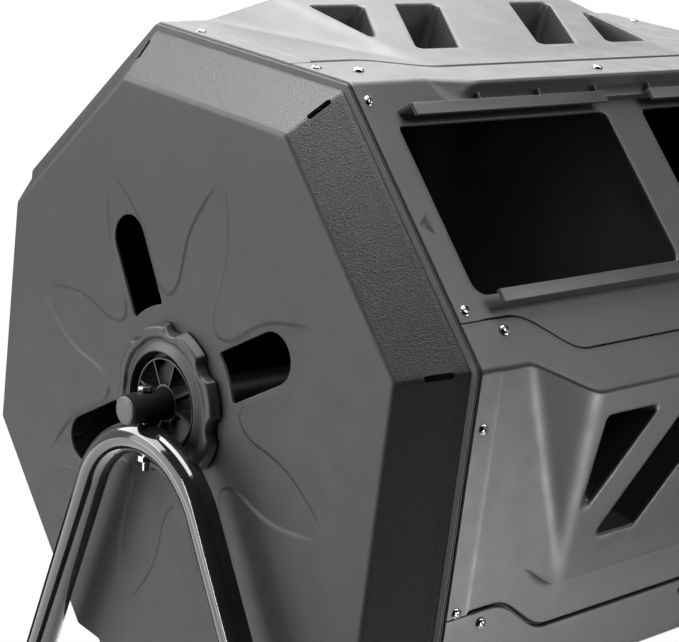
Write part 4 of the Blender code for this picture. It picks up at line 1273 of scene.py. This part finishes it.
def add_hex(body, seat, direction, width, height, chamfer):
    """Hexagonal head or nut standing on seat, its top edge chamfered."""
    direction = np.asarray(direction, float)
    hint = np.array((0.0, 1.0, 0.0))
    u = np.cross(direction, hint)
    u /= np.linalg.norm(u)
    v = np.cross(direction, u)
    flat = circle_points(width, 48)
    angle = np.arctan2(flat[:, 1], flat[:, 0])
    off = (angle + np.pi / 6) % (np.pi / 3) - np.pi / 6
    hexagon = flat * (np.cos(np.pi / 6) / np.cos(off))[:, None] ** 0.92
    rings = []
    for along, scale in ((0, 0.97), (0.0002, 1.0), (height - chamfer * 0.6, 1.0),
                         (height, 1.0 - chamfer / width * 1.6), (height + 0.0002, 0.30)):
        rings.append(stand_up(seat + direction * along, hexagon * scale, u, v))
    body.loft(rings)


def build_bolt(name, seat, direction, length):
    """Bolt with a hexagonal head standing on seat and its shank running the other way."""
    body = Body()
    add_hex(body, seat, direction, *BOLT_HEAD)
    stop = seat - np.array(direction) * length
    add_sweep(body, [seat, (seat + stop) / 2, stop], [BOLT_RADIUS] * 3, (0, 1, 0), 20)
    publish(body, name, "hex", "stand", [zinc_steel])


def build_fasteners():
    """Bolts and nuts that hold the axle on the bends and the crossbars on the legs."""
    for end, side in ENDS:
        seat = np.array((side * LEG_X, 0, AXLE_HEIGHT + AXLE_RADIUS + GAP))
        build_bolt(f"axle_bolt_{end}", seat, (0, 0, 1), 0.064)
        body = Body()
        under = AXLE_HEIGHT + LEG_BEND_TOP - LEG_RADIUS - 0.0009
        add_hex(body, np.array((side * LEG_X, 0, under)), (0, 0, -1), *NUT_SIZE)
        publish(body, f"axle_nut_{end}", "hex", "stand", [zinc_steel])
        for place, front in PLACES:
            x, y = side * (LEG_X + LEG_RADIUS + GAP), front * leg_line(CROSSBAR_HEIGHT)
            build_bolt(f"crossbar_bolt_{end}_{place}", np.array((x, y, CROSSBAR_HEIGHT)), (side, 0, 0), 0.034)


# ---- screws -------------------------------------------------------------------------------------
FLANGE_SCREW_X = PANEL_END_X - 0.037
SCREW_INSETS = (0.0095, 0.0100)                        # from the seam's s, at the ends and in the middle
DOOR_SCREW_INSETS = (0.034, 0.028)
END_SCREW_X = 0.2675
END_SCREW_S = (-0.0722, 0.0678)


def screw_mesh():
    """Pan head with a cross recess, standing on z = 0, and a plain shank below."""
    head_radius, head_height = 0.0044, 0.0026
    shank_radius, shank_end = 0.0019, -0.0105
    arm_half, arm_reach, arm_depth = 0.00075, 0.0030, 0.0016
    body = Body()
    radii = np.concatenate((np.linspace(0, 0.0032, 18), np.linspace(0.0034, head_radius, 8)))[1:]
    unit = circle_points(1.0, 96)
    rings = []
    for r in radii:
        flat = unit * r
        dome = head_height * math.sqrt(max(1 - (r / head_radius) ** 3.2, 0))
        arm = np.minimum(np.abs(flat[:, 0]), np.abs(flat[:, 1]))
        reach = np.maximum(np.abs(flat[:, 0]), np.abs(flat[:, 1]))
        depth = smooth_step((arm_half - arm) / 0.00022) * smooth_step((arm_reach - reach) / 0.0007)
        rings.append(np.column_stack((flat, dome - arm_depth * depth)))
    under = ((head_radius, 0.0), (shank_radius, 0.0), (shank_radius, shank_end))
    body.loft(rings + [at_height(unit * r, z) for r, z in under])
    first = body.finish("screw_pan_head", [screw_steel], sharp=35)
    mesh = first.data
    bpy.data.objects.remove(first)
    return mesh


def place_screw(mesh, name, face, x, s, h, turn):
    normal, across = face_frame(face)
    obj = add_object(name, mesh)
    point = np.array((x, 0, AXLE_HEIGHT)) + across * s + normal * (APOTHEM + h)
    columns = np.column_stack(((1, 0, 0), np.cross(normal, (1, 0, 0)), normal))
    matrix = Matrix(columns.tolist()).to_4x4() @ Matrix.Rotation(turn, 4, "Z")
    matrix.translation = Vector(point)
    obj.matrix_world = matrix
    return obj


def build_screws():
    """Three screws through every panel's leading flange, and two at each end of every panel."""
    mesh = screw_mesh()
    for face in range(SIDES):
        lead = LEADS[face]
        insets = DOOR_SCREW_INSETS if face == DOOR_FACE else SCREW_INSETS
        end_s, middle_s = lead[0] + insets[0], lead[1] + insets[1]
        short = FACE_NAMES[face].replace("_panel", "")
        previous = (face - 1) % SIDES
        across = (("near", -FLANGE_SCREW_X, end_s), ("middle", 0.0, middle_s),
                  ("far", FLANGE_SCREW_X, end_s))
        for number, (place, x, s) in enumerate(across):
            node = f"screw_{short}_{place}"
            turn = math.radians(17 + 71 * face + 37 * number)
            screw = place_screw(mesh, f"{node}_pan_head", previous, x, s, SKIN + GAP, turn)
            hand_over(screw, "drum", [node])
        for end, side in ENDS:
            stations = END_SCREW_S
            if face == DOOR_FACE:                       # at the far end clear of the parked door
                stations = (-0.0997, 0.0706 if end == "near" else 0.0747)
            for number, s in enumerate(stations):
                turn = math.radians(11 + 53 * face + 29 * number)
                name = f"end_screw_{short}_{end}_{number + 1}"
                screw = place_screw(mesh, name, face, side * END_SCREW_X, s, SKIN - 0.0005, turn)
                hand_over(screw, "drum", [])


# ---- sliding door -------------------------------------------------------------------------------
DOOR_WALL = 0.0025
DOOR_RISE = 0.005                                      # the middle stands this much higher
DOOR_SLOPE = 0.0045                                    # over this run
DOOR_FLAT_END = 0.0125                                 # flat border at the ends, and along the rails
DOOR_FLAT_SIDE = 0.0128
GRIP_FROM_END = (0.026, 0.034)
GRIP_S = (-0.040, 0.024)


def edged_stations(low, high, count):
    """Stations from low to high, crowded where the plate's edge is rounded."""
    insets = np.array((0.0, 0.0004, 0.001))
    middle = np.linspace(low + 0.0025, high - 0.0025, count)
    return np.concatenate((low + insets, middle, high - insets[::-1]))


def build_sliding_door():
    """Plate between the rails: flat edges, a raised middle and a finger grip."""
    base = SKIN + GAP
    low, high = TOP_RAIL_S + RAIL_WALL + 0.0008, BOTTOM_RAIL_S - RAIL_WALL - 0.0008
    half = DOOR_LENGTH / 2
    px, ps = np.meshgrid(edged_stations(-half, half, 94), edged_stations(low, high, 62))
    end_gap, side_gap = half - np.abs(px), np.minimum(ps - low, high - ps)
    margin = np.minimum(end_gap - DOOR_FLAT_END, side_gap - DOOR_FLAT_SIDE)
    raised = DOOR_RISE * smooth_step(margin / DOOR_SLOPE)
    top = base + DOOR_WALL + raised - edge_drop(np.minimum(end_gap, side_gap))
    under = base + DOOR_RISE * smooth_step((margin - 0.0006) / DOOR_SLOPE)
    body = Body()
    tables = [body.add(np.stack((px, ps, h), axis=2)).reshape(px.shape) for h in (top, under)]
    for table in tables:
        body.grid(table)
    for side in (np.s_[0, :], np.s_[:, -1], np.s_[-1, :], np.s_[:, 0]):
        body.band(tables[0][side], tables[1][side], closed=False)
    grip_base = base + DOOR_WALL + 0.0040
    rings = []
    for rise, inset in ((0.0, 0.0), (0.0075, 0.0002), (0.0085, 0.0006), (0.0090, 0.0016)):
        left, right = half - GRIP_FROM_END[1] + inset, half - GRIP_FROM_END[0] - inset
        bottom, crown = GRIP_S[0] + inset, GRIP_S[1] - inset
        corners = [(left, bottom), (right, bottom), (right, crown), (left, crown)]
        rings.append(at_height(soft_outline(corners, 0.0, 0.0020, 5, 4), grip_base + rise))
    body.loft(rings)
    place = on_face(DOOR_FACE)

    def parked(points):
        return place(points + np.array((DOOR_PARKED_X, 0.0, 0.0)))
    publish(body, "sliding_door", "moulding", "door", [drum_plastic], parked, sharp=45)


for end, side in ENDS:
    build_hub(end, side)
    build_leg_frame(end, side)
    for place, front in PLACES:
        build_foot(end, side, place, front)
for place, front in PLACES:
    build_crossbar(place, front)
build_axle()
build_fasteners()
build_screws()
build_sliding_door()
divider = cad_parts["divider_panel"]
for slot in divider.material_slots:
    slot.material = drum_plastic


# ---- studio -------------------------------------------------------------------------------------
FLOOR_RADIUS = 0.66


def build_floor():
    """Pale round floor under the stand."""
    material, tree, shader = new_material("studio_floor")
    clouds = add_noise(tree, 3.0, 2.0)
    colour = add_colour_mix(tree, clouds.outputs["Fac"], (0.90, 0.90, 0.90), (0.92, 0.92, 0.92))
    tree.links.new(colour, shader.inputs["Base Color"])
    shader.inputs["Roughness"].default_value = 0.9
    body = Body()
    edge = ((0.0, -0.004), (0.0, -0.0012), (0.0005, -0.0003), (0.0020, 0.0))
    body.loft([at_height(circle_points(FLOOR_RADIUS - inset, 128), z) for inset, z in edge])
    floor = body.finish("studio_floor", [material])


def build_world(ambient):
    """White behind the object; a dim, even surround for everything else."""
    world = bpy.data.worlds.new("studio_surround")
    world.use_nodes = True
    tree = world.node_tree
    tree.nodes.clear()
    output = tree.nodes.new("ShaderNodeOutputWorld")
    rays = tree.nodes.new("ShaderNodeLightPath")
    mix = tree.nodes.new("ShaderNodeMixShader")
    tree.links.new(rays.outputs["Is Camera Ray"], mix.inputs["Fac"])
    for socket, strength in ((1, ambient), (2, 1.0)):
        light = tree.nodes.new("ShaderNodeBackground")
        light.inputs["Color"].default_value = (1, 1, 1, 1)
        light.inputs["Strength"].default_value = strength
        tree.links.new(light.outputs["Background"], mix.inputs[socket])
    tree.links.new(mix.outputs["Shader"], output.inputs["Surface"])
    bpy.context.scene.world = world


def add_panel_light(name, place, target, width, height, power):
    """Soft rectangular light aimed at a point; the camera does not see it."""
    data = bpy.data.lights.new(name, "AREA")
    data.shape = "RECTANGLE"
    data.size = width
    data.size_y = height
    data.energy = power
    light = add_object(name, data)
    light.location = place
    light.rotation_euler = (Vector(target) - Vector(place)).to_track_quat("-Z", "Y").to_euler()
    light.visible_camera = False


DRUM_MIDDLE = (0.0, 0.0, AXLE_HEIGHT)
LIGHTS = (
    ("top", (0.0, 0.0, 2.6), DRUM_MIDDLE, 1.8, 1.8, 104.0),
    ("top_back", (0.5, 0.9, 2.4), DRUM_MIDDLE, 1.4, 1.2, 28.0),
    ("back_high", (1.35, 1.45, 1.75), DRUM_MIDDLE, 2.2, 1.4, 20.5),
    ("left_high", (-1.3, 1.5, 1.9), DRUM_MIDDLE, 1.8, 1.4, 47.0),
    ("left_back", (-1.2, 2.1, 0.8), DRUM_MIDDLE, 2.2, 1.5, 4.3),
    ("left", (-2.2, 1.0, 0.8), DRUM_MIDDLE, 2.0, 1.5, 22.5),
    ("left_strip", (-2.35, 0.12, 0.8), DRUM_MIDDLE, 0.05, 1.5, 7.0),
    ("left_floor", (-1.15, 0.80, 0.04), (-0.2, 0.0, 0.5), 1.4, 0.8, 6.0),
    ("front_high", (0.9, -1.6, 2.0), DRUM_MIDDLE, 1.2, 1.0, 21.5),
    ("front_floor_near", (-0.20, -1.05, 0.04), (-0.1, -0.25, 0.6), 0.45, 0.30, 1.2),
    ("front_floor_middle", (0.24, -1.02, 0.04), (0.0, -0.25, 0.6), 0.36, 0.32, 6.4),
    ("front_floor_far", (0.75, -1.05, 0.04), (0.0, -0.25, 0.6), 0.50, 0.40, 2.6),
    ("right", (1.9, -1.0, 1.0), DRUM_MIDDLE, 1.2, 1.2, 3.0),
)
build_floor()
build_world(0.010)
for spec in LIGHTS:
    add_panel_light(*spec)


# ---- camera -------------------------------------------------------------------------------------
CAMERA_PLACE = (-1.1636, -1.1260, 1.0098)
CAMERA_AZIMUTH = math.radians(49.27)
CAMERA_RISE = math.radians(-9.77)
CAMERA_ROLL = math.radians(0.77)
CAMERA_LENS = 97.17
CAMERA_SHIFT = (0.0682, -0.0864)


def build_camera():
    """Long lens, shifted so that its frame covers the drum and the tops of the legs."""
    level = math.cos(CAMERA_RISE)
    east, north = math.cos(CAMERA_AZIMUTH), math.sin(CAMERA_AZIMUTH)
    ahead = Vector((level * east, level * north, math.sin(CAMERA_RISE)))
    right = Vector((north, -east, 0.0))
    above = right.cross(ahead)
    right = math.cos(CAMERA_ROLL) * right + math.sin(CAMERA_ROLL) * above
    above = right.cross(ahead)
    matrix = Matrix((right, above, -ahead)).transposed().to_4x4()
    matrix.translation = Vector(CAMERA_PLACE)
    data = bpy.data.cameras.new("camera")
    data.sensor_width = 36.0
    data.lens = CAMERA_LENS
    data.shift_x, data.shift_y = CAMERA_SHIFT
    camera = add_object("camera", data)
    camera.matrix_world = matrix
    bpy.context.scene.camera = camera


build_camera()
bpy.context.scene.view_settings.view_transform = "Standard"
